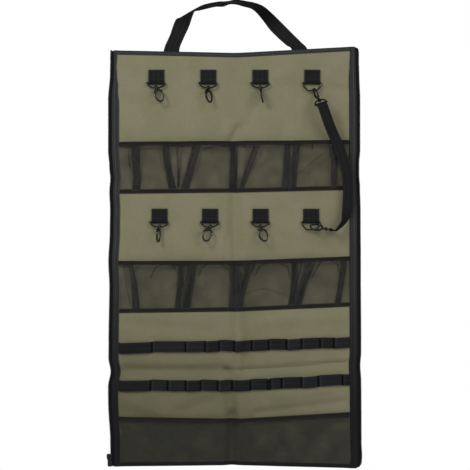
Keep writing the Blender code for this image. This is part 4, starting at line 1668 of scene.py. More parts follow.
@dataclass(frozen=True)
class CarryHandle:
    """The wide webbing handle: flat legs, and a top that stands on edge."""

    thick: float = 0.0022
    # outer edge and inner edge, left to right: x, height over the top edge, depth behind the face
    edges: Table = (
        (-0.1710, -0.0450, 0.0046, -0.1327, -0.0450, 0.0046),
        (-0.1704, 0.0000, 0.0046, -0.1329, 0.0000, 0.0046),
        (-0.1558, 0.0359, 0.0046, -0.1242, 0.0252, 0.0040),
        (-0.1428, 0.0708, 0.0080, -0.1100, 0.0556, 0.0010),
        (-0.1300, 0.0800, 0.0240, -0.0973, 0.0905, -0.0010),
        (-0.0965, 0.1009, 0.0330, -0.0870, 0.0940, -0.0020),
        (-0.0725, 0.1124, 0.0340, -0.0725, 0.0974, -0.0020),
        (-0.0406, 0.1189, 0.0345, -0.0465, 0.1034, -0.0020),
        (-0.0250, 0.1196, 0.0350, -0.0280, 0.1038, -0.0020),
        (-0.0127, 0.1209, 0.0350, -0.0127, 0.1092, -0.0020),
        (0.0031, 0.1246, 0.0355, 0.0031, 0.1089, -0.0020),
        (0.0271, 0.1205, 0.0350, 0.0220, 0.1037, -0.0020),
        (0.0468, 0.1168, 0.0345, 0.0390, 0.0990, -0.0015),
        (0.0689, 0.1077, 0.0310, 0.0525, 0.0890, -0.0005),
        (0.0897, 0.0898, 0.0255, 0.0692, 0.0693, 0.0010),
        (0.1180, 0.0611, 0.0160, 0.0857, 0.0476, 0.0020),
        (0.1420, 0.0364, 0.0096, 0.1076, 0.0262, 0.0032),
        (0.1595, 0.0191, 0.0060, 0.1233, 0.0124, 0.0040),
        (0.1752, 0.0000, 0.0046, 0.1372, 0.0000, 0.0046),
        (0.1756, -0.0450, 0.0046, 0.1378, -0.0450, 0.0046),
    )
    bend: float = 0.095

    def build(self) -> None:
        """Lay the handle and sew its feet."""
        route = smooth_route(self.edges, 7)
        last = len(route) - 1

        def place(u: float, v: float) -> Vector:
            """Where a spot of the handle lies.

            Args:
                u: How far across the cut, 0 to 1.
                v: How far along the cut, 0 to 1.

            Returns:
                The spot.
            """
            row = route[round(v * last)]
            outer = Vector((row[0], row[2], TOP + row[1]))
            inner = Vector((row[3], row[5], TOP + row[4]))
            return inner.lerp(outer, u)

        length = sum(
            (Vector(a[:3]) - Vector(b[:3])).length for a, b in zip(route, route[1:]))
        # The top, where it stands on edge, is darkened with painted shade
        piece = lay_cloth(
            "carry_handle", (WIDE_WEBBING, length), (12, last), place, self.thick, PALETTE.webbing,
            None, lambda u, v: 0.7 * ease(route[round(v * last)][1], 0.055, 0.095))
        dress(piece, Slot.WEBBING, None, ("handle_left", "handle_right"), self.bend)
        for side, row in ((Side.LEFT, self.edges[0]), (Side.RIGHT, self.edges[-1])):
            low, high = TOP - 0.042, TOP - 0.006
            left, right = sorted((row[0], row[3]))
            left, right = left + 0.003, right - 0.003
            seams = [
                Seam((left, low), (right, low)), Seam((left, high), (right, high)),
                Seam((left, low), (left, high)), Seam((right, low), (right, high)),
                Seam((left, low), (right, high)), Seam((left, high), (right, low))]
            back = row[2] + self.thick / 2
            sew(f"handle_stitches_{side.word}", seams, lambda x, z: back, side.body)


# Zip


@dataclass(frozen=True)
class ZipSide:
    """One half of the zip: its tape, its coil, its stop and its end fitting."""

    side: Side
    coil_x: float = 0.2984
    coil_radius: float = 0.0016
    wire: float = 0.00034
    pitch: float = 0.0014
    round_steps: int = 10
    box_height: float = 0.014
    box_radius: float = 0.0026
    stop_height: float = 0.004
    depth: float = 0.0010

    def build(self) -> None:
        """Lay the tape, wind the coil and add the fittings."""
        start = BINDING_EDGE - 0.0030

        def place(u: float, v: float) -> Vector:
            """Where a spot of the tape lies.

            Args:
                u: How far across the cut, 0 to 1.
                v: How far along the cut, 0 to 1.

            Returns:
                The spot.
            """
            x = start + (self.coil_x - start) * (u if self.side is Side.RIGHT else 1 - u)
            z = BOTTOM + 0.001 + v * (HEIGHT - 0.002)
            return hang(self.side.value * x, self.depth - 0.0005, z)

        tape = lay_cloth(
            f"zip_tape_{self.side.word}", (self.coil_x - start, HEIGHT), (5, 200), place, 0.0010,
            PALETTE.zip_tape)
        dress(tape, Slot.ZIP, self.side.body)
        dress(self.coil(), Slot.ZIP, self.side.body, (f"zip_{self.side.word}",))
        dress(self.fittings(), Slot.ZIP, self.side.body)

    def coil(self) -> Piece:
        """Wind the coil: one turn, repeated up the edge.

        Returns:
            The piece.
        """
        low = BOTTOM + self.box_height
        high = TOP - self.stop_height
        bm = bmesh.new()
        lane = self.coil_radius - self.wire
        bmesh.ops.create_circle(
            bm, segments=4, radius=self.wire,
            matrix=Matrix.Translation((lane, 0, 0)) @ Matrix.Rotation(math.pi / 2, 4, "X"))
        bmesh.ops.spin(
            bm, geom=bm.verts[:] + bm.edges[:], cent=(0, 0, 0), axis=(0, 0, 1),
            dvec=(0, 0, self.pitch / self.round_steps), angle=2 * math.pi, steps=self.round_steps)
        turn = bpy.data.objects.new("turn", to_mesh("turn", bm))
        bpy.context.collection.objects.link(turn)
        repeat = turn.modifiers.new("repeat", "ARRAY")
        repeat.count = int((high - low) / self.pitch)
        repeat.use_relative_offset = False
        repeat.use_constant_offset = True
        repeat.constant_offset_displace = (0, 0, self.pitch)
        repeat.use_merge_vertices = True
        repeat.merge_threshold = 0.00002
        graph = bpy.context.evaluated_depsgraph_get()
        wound = bpy.data.meshes.new_from_object(turn.evaluated_get(graph))
        bpy.data.objects.remove(turn, do_unlink=True)
        centre = Vector((self.side.value * self.coil_x, self.depth, low))
        for vert in wound.vertices:
            vert.co = DRAPE.move(vert.co + centre)
        bm = bmesh.new()
        bm.from_mesh(wound)
        bmesh.ops.holes_fill(bm, edges=[edge for edge in bm.edges if edge.is_boundary])
        return close_piece(f"zip_coil_{self.side.word}", bm, PALETTE.coil, 180)

    def fittings(self) -> Piece:
        """Mould the stop at the top, and the box or the plain pin at the bottom.

        Returns:
            The piece.
        """
        bm = bmesh.new()
        x = self.side.value * self.coil_x
        wide = self.box_radius if self.side is Side.LEFT else self.box_radius * 0.75
        block(bm, (x - wide, self.depth - wide, BOTTOM),
              (x + wide, self.depth + wide, BOTTOM + self.box_height), 0.0007)
        for level in (0.35, 0.65):
            z = BOTTOM + self.box_height * level
            block(bm, (x - wide - 0.0003, self.depth - wide - 0.0003, z - 0.0006),
                  (x + wide + 0.0003, self.depth + wide + 0.0003, z + 0.0006), 0.0003)
        for vert in bm.verts:
            vert.co = DRAPE.move(vert.co)
        stop = bmesh.new()
        wide = (self.coil_radius + self.box_radius) / 2
        block(stop, (x - wide, self.depth - wide, TOP - self.stop_height),
              (x + wide, self.depth + wide, TOP), 0.0006)
        for vert in stop.verts:
            floor = vert.co.z
            vert.co = DRAPE.move(vert.co)
            vert.co.z = max(vert.co.z, floor)  # clear of the slider at the top of its travel
        add_shape(bm, stop)
        return close_piece(f"zip_fittings_{self.side.word}", bm, PALETTE.coil)


@dataclass(frozen=True)
class ZipSlider:
    """The slider at the foot of the left coil, with the pull that turns on its pin."""

    height: float = 0.016
    width: float = 0.0130
    plate: float = 0.0013
    neck: float = 0.0014
    room: float = 0.0019
    pin_radius: float = 0.0008
    barrel: float = 0.0019
    barrel_length: float = 0.0036
    pull_width: float = 0.0080
    pull_length: float = 0.0260
    pull_thick: float = 0.0014

    def build(self) -> None:
        """Build the slider and its pull where their joints stand."""
        low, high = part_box("zip_slider")
        pin = Vector(JOINTS["puller_flip"]["pos_m"])
        x, middle = pin.x, 0.0010
        half = self.width / 2
        depth = self.room + self.plate
        bm = bmesh.new()
        for near, far in ((-depth, -self.room), (self.room, depth)):
            waist = low.z + self.height * 0.45
            outline = [
                (x - half * 0.62, low.z), (x + half * 0.62, low.z), (x + half, waist),
                (x + half, high.z - 0.0015), (x + half * 0.7, high.z), (x - half * 0.7, high.z),
                (x - half, high.z - 0.0015), (x - half, waist)]
            plate(bm, outline, middle + near, middle + far, 0.0004)
        block(bm, (x - self.neck / 2, middle - depth + 0.0002, low.z + 0.0045),
              (x + self.neck / 2, middle + depth - 0.0002, high.z - 0.0006), 0.0003)
        lug = self.barrel_length / 2 + GAP
        for sign in (-1, 1):
            near, far = sorted((x + sign * lug, x + sign * (lug + 0.0010)))
            block(bm, (near, pin.y - self.barrel, pin.z - self.barrel - 0.0012),
                  (far, middle - depth + self.plate / 2, pin.z + self.barrel), 0.0003)
        reach = Vector((lug + 0.0008, 0, 0))
        rod(bm, self.pin_radius, pin - reach, pin + reach)
        piece = close_piece("slider_body", bm, PALETTE.metal)
        dress(piece, Slot.GUNMETAL, "zip_slider", ("zip_slider",))
        self.build_pull(pin)

    def build_pull(self, pin: Vector) -> None:
        """Build the pull round its pin.

        Args:
            pin: The pin's middle.
        """
        bm = bmesh.new()
        hole = self.pin_radius + PIN_PLAY
        eye = bmesh.new()
        half = self.barrel_length / 2
        turned(eye, ((hole, -half), (self.barrel - 0.0003, -half), (self.barrel, -half + 0.0003),
                     (self.barrel, half - 0.0003), (self.barrel - 0.0003, half), (hole, half),
                     (hole, -half)), 20)
        add_shape(bm, eye, Matrix.Translation(pin) @ Matrix.Rotation(math.pi / 2, 4, "Y"))
        wide = self.pull_width / 2
        clear = -self.barrel * math.sqrt(2) - GAP
        outline = [
            (-half, -hole - 0.0003), (half, -hole - 0.0003), (half, clear), (wide, clear - half),
            (wide, half - self.pull_length), (wide * 0.55, -self.pull_length),
            (-wide * 0.55, -self.pull_length), (-wide, half - self.pull_length),
            (-wide, clear - half), (-half, clear)]
        spots = [(pin.x + a, pin.z + b) for a, b in outline]
        plate(bm, spots, pin.y - self.pull_thick / 2, pin.y + self.pull_thick / 2, 0.0003)
        for level in (0.50, 0.62, 0.74):
            z = pin.z - self.pull_length * level
            block(bm, (pin.x - wide * 0.72, pin.y - self.pull_thick / 2 - 0.0002, z - 0.0004),
                  (pin.x + wide * 0.72, pin.y + self.pull_thick / 2 + 0.0002, z + 0.0004), 0.0002)
        piece = close_piece("slider_pull", bm, PALETTE.metal)
        dress(piece, Slot.GUNMETAL, "zip_puller", ("zip_puller",))


# Tabs, loops, rings and hooks


@dataclass(frozen=True)
class WebbingTab:
    """Webbing folded round a bar and sewn flat to the panel."""

    name: str
    height: float = 0.035
    eye: float = WIRE_RADIUS + PIN_PLAY

    def build(self, bar: Vector) -> None:
        """Fold the webbing round its bar and stitch it.

        Args:
            bar: Middle of the bar.
        """
        bend = self.eye + WEBBING_THICK
        near = bend - 2 * WEBBING_THICK
        top = self.height - bend
        sweep = 2 * math.pi - math.acos(near / bend)
        steps = 18
        route = [(near, top)] + [(near, top * (1 - i / 8)) for i in range(1, 7)]
        route += [
            (bend * math.cos(sweep * (1 - i / steps)), -bend * math.sin(sweep * (1 - i / steps)))
            for i in range(steps + 1)]
        route += [(bend, top * i / 8) for i in range(1, 9)]
        last = len(route) - 1

        def place(u: float, v: float) -> Vector:
            """Where a spot of the webbing lies."""
            depth, z = route[round(v * last)]
            return bar + Vector(((0.5 - u) * WIDE_WEBBING, depth, z))

        length = sum((Vector(a) - Vector(b)).length for a, b in zip(route, route[1:]))
        piece = lay_cloth(
            f"webbing_{self.name}", (WIDE_WEBBING, length), (12, last), place, WEBBING_THICK,
            PALETTE.webbing)
        body = frame["nodes"][self.name]["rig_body"]
        dress(piece, Slot.WEBBING, body, (self.name,))
        left, right = bar.x - WIDE_WEBBING / 2 + 0.002, bar.x + WIDE_WEBBING / 2 - 0.002
        levels = (bar.z + 0.0065, bar.z + 0.0090, bar.z + top - 0.0025)
        seams = [Seam((left, z), (right, z), 0.0032, 0.0023) for z in levels]
        seams += [Seam((x, levels[1]), (x, levels[2]), 0.0032, 0.0023) for x in (left, right)]
        face = bar.y + near
        sew(f"stitches_{self.name}", seams, lambda x, z: face, body)


@dataclass(frozen=True)
class WireShape:
    """A closed D of round wire: a straight bar and a round lower side."""

    clear: float
    drop: float
    flat: float
    bends: tuple[Spot, ...] = ((0.93, 0.50), (0.70, 0.80))

    def add(self, bm: BMesh) -> None:
        """Bend the wire, its bar along X at the origin.

        Args:
            bm: Where the shape goes.
        """
        half = self.clear / 2 + WIRE_RADIUS
        side = [(self.clear / 2 + WIRE_RADIUS / 3, 0.0), (half, -1.3 * WIRE_RADIUS)]
        side += [(across * half, -down * self.drop) for across, down in self.bends]
        side.append((self.flat * self.clear, -self.drop))
        outline = side + [(-x, z) for x, z in reversed(side)]
        outline.append(outline[0])
        route = smooth_route(outline, 6)[:-1]
        bent_wire(bm, [Vector((x, 0, z)) for x, z in route], WIRE_RADIUS)


@dataclass(frozen=True)
class SnapHook:
    """A swivel snap hook: its wire loop with the boss, the hook, and the spring gate."""

    loop_drop: float = 0.0125
    boss_radius: float = 0.0046
    boss_height: float = 0.004
    boss_bore: float = 0.0030
    stem_radius: float = 0.0018
    head_radius: float = 0.0038
    head_height: float = 0.0018
    shoulder_radius: float = 0.0031
    shoulder_drop: float = 0.0038
    shoulder_height: float = 0.0034
    eye_drop: float = 0.0225
    eye_half_width: float = 0.0090
    eye_half_height: float = 0.0150
    rim_width: float = 0.0038
    rim_depth: float = 0.0050
    flare: float = 0.0006
    swell: float = 0.0016
    heart: float = 0.0030
    rim_start: float = -38
    rim_end: float = 235
    pin_turn: float = -30
    gate_thick: float = 0.0024
    gate_width: float = 0.0032
    gate_knuckle: float = 0.0021
    thumb_reach: float = 0.0116
    thumb_slope: Spot = (0.0016, 0.0014)
    thumb_rise: float = 0.0048

    def eye_point(self, degrees: float, offset: float = 0.0) -> Vector:
        """A point on the eye's rim, from the boss's centre.

        Args:
            degrees: The angle from the eye's top, positive towards -x.
            offset: The distance outwards of the rim's middle.

        Returns:
            The point.
        """
        angle = math.radians(degrees)
        wide, tall = self.eye_half_width, self.eye_half_height
        x, z = -wide * math.sin(angle), tall * math.cos(angle)
        out = Vector((x / wide**2, z / tall**2)).normalized()
        return Vector((x + out.x * offset, 0, z - self.eye_drop + out.y * offset))

    def add_boss(self, bm: BMesh) -> None:
        """Turn the bored boss that the hook swivels in.

        Args:
            bm: Where the shape goes.
        """
        half, soft = self.boss_height / 2, 0.0006
        ring = bmesh.new()
        turned(ring, (
            (self.boss_bore, -half + 0.0003), (self.boss_bore + 0.0003, -half),
            (self.boss_radius - soft, -half), (self.boss_radius - soft * 0.3, -half + soft * 0.3),
            (self.boss_radius, -half + soft), (self.boss_radius, half - soft),
            (self.boss_radius - soft * 0.3, half - soft * 0.3), (self.boss_radius - soft, half),
            (self.boss_bore + 0.0003, half), (self.boss_bore, half - 0.0003),
            (self.boss_bore, -half + 0.0003)), 28)
        add_shape(bm, ring, Matrix.Translation((0, 0, -self.loop_drop)))

    def add_stem(self, bm: BMesh, head_drop: float) -> None:
        """Turn the stem, its head over the boss and the shoulder under it.

        Args:
            bm: Where the shape goes.
            head_drop: How far above the boss's centre the head's foot stands.
        """
        head, low = head_drop + self.head_height, -self.shoulder_drop - self.shoulder_height
        neck = self.eye_half_height - self.eye_drop
        wide, broad = self.head_radius, self.shoulder_radius
        profile = (
            (0.0, head + 0.0002), (wide * 0.55, head), (wide * 0.9, head - 0.0005),
            (wide, head - 0.0010), (wide, head_drop + 0.0003), (wide - 0.0003, head_drop),
            (self.stem_radius, head_drop), (self.stem_radius, -self.shoulder_drop),
            (broad * 0.8, -self.shoulder_drop), (broad, -self.shoulder_drop - 0.0007),
            (broad, low + 0.0006), (broad * 0.86, low),
            (self.rim_width * 0.60, (low + neck) / 2), (self.rim_width * 0.62, neck),
            (0.0, neck - 0.0012))
        turned(bm, profile, 24)

    def add_rim(self, bm: BMesh) -> None:
        """Sweep the eye's rim, thick at the shoulder and slimmer towards its nose.

        Args:
            bm: Where the shape goes.
        """
        steps = 46
        section = rounded(self.rim_width, self.rim_depth, 0.0017, 4)
        stations = []
        for i in range(steps + 1):
            share = i / steps
            degrees = self.rim_start + (self.rim_end - self.rim_start) * share
            ahead, behind = self.eye_point(degrees + 1), self.eye_point(degrees - 1)
            way = ahead - behind
            slim = 1 - 0.16 * ease(share, 0.35, 0.8) + 0.10 * ease(share, 0.90, 1.0)
            heavy = self.swell * ease(share, 0.08, 0.22) * (1 - ease(share, 0.34, 0.62))
            heart = self.heart * ease(share, 0.04, 0.14) * (1 - ease(share, 0.20, 0.44))
            wide = (self.rim_width + self.flare) * slim + heavy + heart
            middle = self.eye_point(degrees, (self.flare + heavy - heart) / 2)
            place = frame_matrix(middle, way.cross(BACKWARDS), way)
            stations.append(place @ Matrix.Diagonal((wide / self.rim_width, slim, 1.0, 1.0)))
        pin = self.eye_point(self.pin_turn)
        shape = bmesh.new()
        swept(shape, section, stations)
        length = (self.eye_point(self.rim_end) - pin).length
        way = (self.eye_point(self.rim_end) - pin).normalized()
        bmesh.ops.bisect_plane(
            shape, geom=shape.verts[:] + shape.edges[:] + shape.faces[:],
            plane_co=pin + way * (length + GAP), plane_no=way, clear_inner=False)
        add_shape(bm, shape)
        depth = self.rim_depth / 2 + 0.0004
        for sign in (-1, 1):
            near = pin + Vector((0, sign * (depth - 0.0010), 0))
            rod(bm, 0.0015, near, pin + Vector((0, sign * depth, 0)))

    def add_gate(self, bm: BMesh) -> None:
        """Cut the gate, from its pin along the rim to the nose, with its thumb tab.

        Args:
            bm: Where the shape goes.
        """
        pin = self.eye_point(self.pin_turn)
        line = self.eye_point(self.rim_end) - pin
        length, way = line.length, line.normalized()
        half = self.gate_width / 2
        reach = math.sqrt(length**2 - half**2) - GAP
        side = Vector((-way.z, 0, way.x))
        if side.x < 0:
            side = -side
        end = self.eye_point(self.rim_end) - way * (length - reach)
        outer = [
            self.eye_point(angle, half + self.flare)
            for angle in (-66, -73, -80, -87, -95, -102, -108)]
        inner = [
            self.eye_point(angle, -half)
            for angle in (-108, -100, -92, -84, -76, -68, -60, -54, -48)]
        rise = outer[0].z + self.thumb_rise
        thumb = [
            Vector((self.thumb_reach - self.thumb_slope[0], 0, rise)),
            Vector((self.thumb_reach, 0, rise - self.thumb_slope[1]))]
        knuckle = []
        for i in range(11):
            angle = math.radians(215 - 16 * i)
            knuckle.append(pin + Vector((math.cos(angle), 0, math.sin(angle))) * self.gate_knuckle)
        outline = [*knuckle, *thumb, *outer, end + side * half, end - side * half, *inner]
        spots = [(p.x, p.z) for p in outline]
        plate(bm, spots, -self.gate_thick / 2, self.gate_thick / 2, 0.0003)

    def build(
            self, name: str, loop_place: Matrix, hook_place: Matrix, lean: float, clear: float,
            bodies: Sequence[str]) -> None:
        """Build the loop, the hook and the gate at their places.

        Args:
            name: The hook's name in the nodes.
            loop_place: Place of the loop's bar.
            hook_place: Place of the boss's centre, turned as the hook hangs.
            lean: The hook's lean in its boss, in degrees.
            clear: The loop's clear width.
            bodies: Bodies of the loop, the hook and the gate.
        """
        bm = bmesh.new()
        WireShape(clear, self.loop_drop, 0.16).add(bm)
        self.add_boss(bm)
        bmesh.ops.transform(bm, matrix=loop_place, verts=bm.verts[:])
        piece = close_piece(f"{name}_wire_loop", bm, PALETTE.metal)
        dress(piece, Slot.GUNMETAL, bodies[0], (f"{name}_loop",))
        sway = self.head_radius * math.sin(abs(math.radians(lean)))
        head_drop = self.boss_height / 2 + sway + GAP
        bm = bmesh.new()
        self.add_stem(bm, head_drop)
        self.add_rim(bm)
        bmesh.ops.transform(bm, matrix=hook_place, verts=bm.verts[:])
        piece = close_piece(f"{name}_snap_hook", bm, PALETTE.metal, 50)
        dress(piece, Slot.GUNMETAL, bodies[1], (f"{name}_hook",))
        bm = bmesh.new()
        self.add_gate(bm)
        bmesh.ops.transform(bm, matrix=hook_place, verts=bm.verts[:])
        piece = close_piece(f"{name}_spring_gate", bm, PALETTE.metal, 50)
        dress(piece, Slot.GUNMETAL, bodies[2], (f"{name}_gate",))


@dataclass(frozen=True)
class HardwareRow:
    """A row of tabs: three with snap hooks, and a fourth with a plain ring for the strap."""

    name: str
    leans: tuple[float, float, float]
    clear: float = 0.039
    ring_drop: float = 0.0190
    ring_tilt: float = 10

    def ring_bar(self) -> Vector:
        """Middle of the ring's bar, where its joint stands."""
        return Vector(JOINTS[f"ring_{self.name}_tilt"]["pos_m"])

    def ring_place(self) -> Matrix:
        """Place of the ring as it hangs."""
        tilt = Matrix.Rotation(-math.radians(self.ring_tilt), 4, "X")
        return Matrix.Translation(self.ring_bar()) @ tilt

    def build(self) -> None:
        """Build the tabs, the hooks and the ring."""
        for column, lean in enumerate(self.leans, 1):
            name = f"{self.name}_{column}"
            bar = Vector(JOINTS[f"{name}_tilt"]["pos_m"])
            WebbingTab(f"tab_{name}").build(bar)
            boss = Vector(JOINTS[f"{name}_swivel"]["pos_m"])
            loop_place = frame_matrix(bar, Vector((1, 0, 0)), bar - boss)
            up = Vector(JOINTS[f"{name}_swivel"]["axis"])
            through = Vector(JOINTS[f"{name}_gate_press"]["axis"])
            hook_place = frame_matrix(boss, through.cross(up), up)
            bodies = [f"{name}_{part}" for part in ("loop", "hook", "gate")]
            SnapHook().build(name, loop_place, hook_place, lean, self.clear, bodies)
        WebbingTab(f"tab_{self.name}_4").build(self.ring_bar())
        bm = bmesh.new()
        WireShape(self.clear, self.ring_drop, 0.25).add(bm)
        bmesh.ops.transform(bm, matrix=self.ring_place(), verts=bm.verts[:])
        piece = close_piece(f"{self.name}_plain_ring", bm, PALETTE.metal)
        dress(piece, Slot.GUNMETAL, f"ring_{self.name}", (f"ring_{self.name}",))


@dataclass(frozen=True)
class HookStrap:
    """The strap that is hooked between the two rings, with a snap hook at each end."""

    lean: float = 26
    tilt: float = 35
    ring_offset: float = 0.004
    lower_eye: tuple[float, ...] = (0.0125, -0.0110, -0.0133)
    lower_aim: tuple[float, ...] = (-0.965, 0.200, 0.170)
    clear: float = 0.026
    seam: float = 0.012
    turns: Spot = (85, 45)
    # points of the strap between its hooks: x, y, drop below the top edge, turn in degrees
    route: Table = (
        (0.2250, -0.0330, 0.180, 0), (0.2355, -0.0250, 0.204, 0), (0.2480, -0.0205, 0.231, 0),
        (0.2585, -0.0180, 0.260, 0), (0.2665, -0.0160, 0.288, 0), (0.2705, -0.0150, 0.315, 0),
        (0.2715, -0.0145, 0.341, 0), (0.2705, -0.0120, 0.368, 6), (0.2670, -0.0130, 0.394, 30),
        (0.2595, -0.0165, 0.414, 62),
    )

    def upper_place(self, row: HardwareRow) -> Matrix:
        """Place of the upper loop: its hook hangs on the ring's far side.

        Args:
            row: The row whose ring it hangs on.

        Returns:
            The place of the loop's bar.
        """
        hook = SnapHook()
        lean, tilt = math.radians(self.lean), math.radians(self.tilt)
        down = Vector((
            math.sin(lean) * math.cos(tilt), -math.sin(tilt), -math.cos(lean) * math.cos(tilt)))
        wire = row.ring_place() @ Vector((self.ring_offset, 0, -row.ring_drop))
        seat = hook.eye_half_height - hook.rim_width / 2 - WIRE_RADIUS - GAP
        bar = wire + down * (seat + hook.eye_drop + hook.loop_drop)
        return frame_matrix(bar, Vector((1, 0, 0)), down)

    def lower_place(self, row: HardwareRow) -> Matrix:
        """Place of the lower loop: its hook points to the left.

        Args:
            row: The row whose ring it holds.

        Returns:
            The place of the loop's bar.
        """
        hook = SnapHook()
        eye = row.ring_bar() + Vector(self.lower_eye)
        aim = Vector(self.lower_aim).normalized()
        return frame_matrix(eye - aim * (hook.eye_drop + hook.loop_drop), BACKWARDS, -aim)

    def folded_end(self, place: Matrix) -> list[Station]:
        """The strap's sewn end, from its cut edge round the loop's bar and back up.

        Args:
            place: Place of the loop's bar.

        Returns:
            The middle of each station and the strap's width direction there.
        """
        bend = WIRE_RADIUS + PIN_PLAY + WEBBING_THICK / 2
        layer = (WEBBING_THICK + GAP) / 2
        start = math.acos(layer / bend)
        steps = 16
        sweep = math.pi + 2 * start
        line = [(layer, self.seam), (layer, self.seam * 0.6)]
        line += [
            (bend * math.cos(start - sweep * i / steps), bend * math.sin(start - sweep * i / steps))
            for i in range(steps + 1)]
        line += [(-layer, self.seam * 0.6), (-layer, self.seam)]
        across = place.to_3x3().col[0].normalized()
        return [(place @ Vector((0, y, z)), across.copy()) for y, z in line]

    def stations(self, upper: Matrix, lower: Matrix) -> list[Station]:
        """The whole strap from its upper sewn end to its lower one.

        Args:
            upper: Place of the upper loop's bar.
            lower: Place of the lower loop's bar.

        Returns:
            The middle and the width direction of each station.
        """
        first, last = self.folded_end(upper), self.folded_end(lower)[::-1]
        rows = [(x, y, TOP - drop, turn) for x, y, drop, turn in self.route]
        run = []
        for i, (x, y, z, turn) in enumerate(rows):
            ahead = Vector(rows[min(i + 1, len(rows) - 1)][:3])
            behind = Vector(rows[max(i - 1, 0)][:3])
            way = (ahead - behind).normalized()
            across = way.cross(BACKWARDS).normalized()
            depth = across.cross(way).normalized()
            if depth.y < 0:
                depth = -depth
            angle = math.radians(turn)
            run.append((Vector((x, y, z)), across * math.cos(angle) + depth * math.sin(angle)))
        chain = [first[-1], *run, last[0]]
        aligned = [chain[0]]
        for point, across in chain[1:]:
            if across.dot(aligned[-1][1]) < 0:
                across = -across
            aligned.append((point, across))
        smooth = smooth_route([(*point, *across) for point, across in aligned], 6)
        middle = [(Vector(row[:3]), Vector(row[3:]).normalized()) for row in smooth]
        if last[0][1].dot(middle[-1][1]) < 0:
            last = [(point, -across) for point, across in last]
        return [*first[:-1], *middle, *last[1:]]

    def build(self, upper_row: HardwareRow, lower_row: HardwareRow) -> None:
        """Lay the strap and hang its two hooks.

        Args:
            upper_row: The row whose ring holds the upper hook.
            lower_row: The row whose ring the lower hook holds.
        """
        upper, lower = self.upper_place(upper_row), self.lower_place(lower_row)
        stations = self.stations(upper, lower)
        last = len(stations) - 1
        normals = []
        for i, (point, across) in enumerate(stations):
            way = stations[min(i + 1, last)][0] - stations[max(i - 1, 0)][0]
            normals.append(across.cross(way).normalized())

        def place(u: float, v: float) -> Vector:
            """Where a spot of the strap lies.

            Args:
                u: How far across the cut, 0 to 1.
                v: How far along the cut, 0 to 1.

            Returns:
                The spot.
            """
            i = round(v * last)
            point, across = stations[i]
            return point + across * ((u - 0.5) * NARROW_WEBBING) + normals[i] * (WEBBING_THICK / 2)

        length = sum((a[0] - b[0]).length for a, b in zip(stations, stations[1:]))
        piece = lay_cloth(
            "hook_strap", (NARROW_WEBBING, length), (10, last), place, WEBBING_THICK,
            PALETTE.webbing)
        dress(piece, Slot.WEBBING, "strap", ("strap",))
        for name, loop_place, turn in (
                ("strap_top", upper, self.turns[0]), ("strap_bottom", lower, self.turns[1])):
            boss = loop_place @ Vector((0, 0, -SnapHook().loop_drop))
            turned_axes = loop_place.to_3x3() @ Matrix.Rotation(math.radians(turn), 3, "Z")
            hook_place = Matrix.Translation(boss) @ turned_axes.to_4x4()
            bodies = ("strap", "strap", f"{name}_gate")
            hook = SnapHook(flare=0.0, swell=0.0, heart=0.001, gate_width=0.0025)
            hook.build(name, loop_place, hook_place, 0.0, self.clear, bodies)
            self.tack(name, loop_place)

    def tack(self, name: str, place: Matrix) -> None:
        """Sew the folded end with a bar of thread on both faces.

        Args:
            name: The end's name.
            place: Place of the loop's bar.
        """
        bm = bmesh.new()
        off = WEBBING_THICK + GAP / 2
        for level in (self.seam - 0.002, self.seam - 0.005):
            for i in range(7):
                x = (i - 3) * 0.0033
                for sign in (-1, 1):
                    spot = Matrix.Translation((x, sign * off, level))
                    size = Matrix.Diagonal((0.0012, 0.00035, THREAD_BULK, 1.0))
                    bmesh.ops.create_icosphere(
                        bm, subdivisions=1, radius=1.0, matrix=place @ spot @ size)
        dress(close_piece(f"{name}_stitches", bm, PALETTE.thread, 180), Slot.WEBBING, "strap")


# Studio


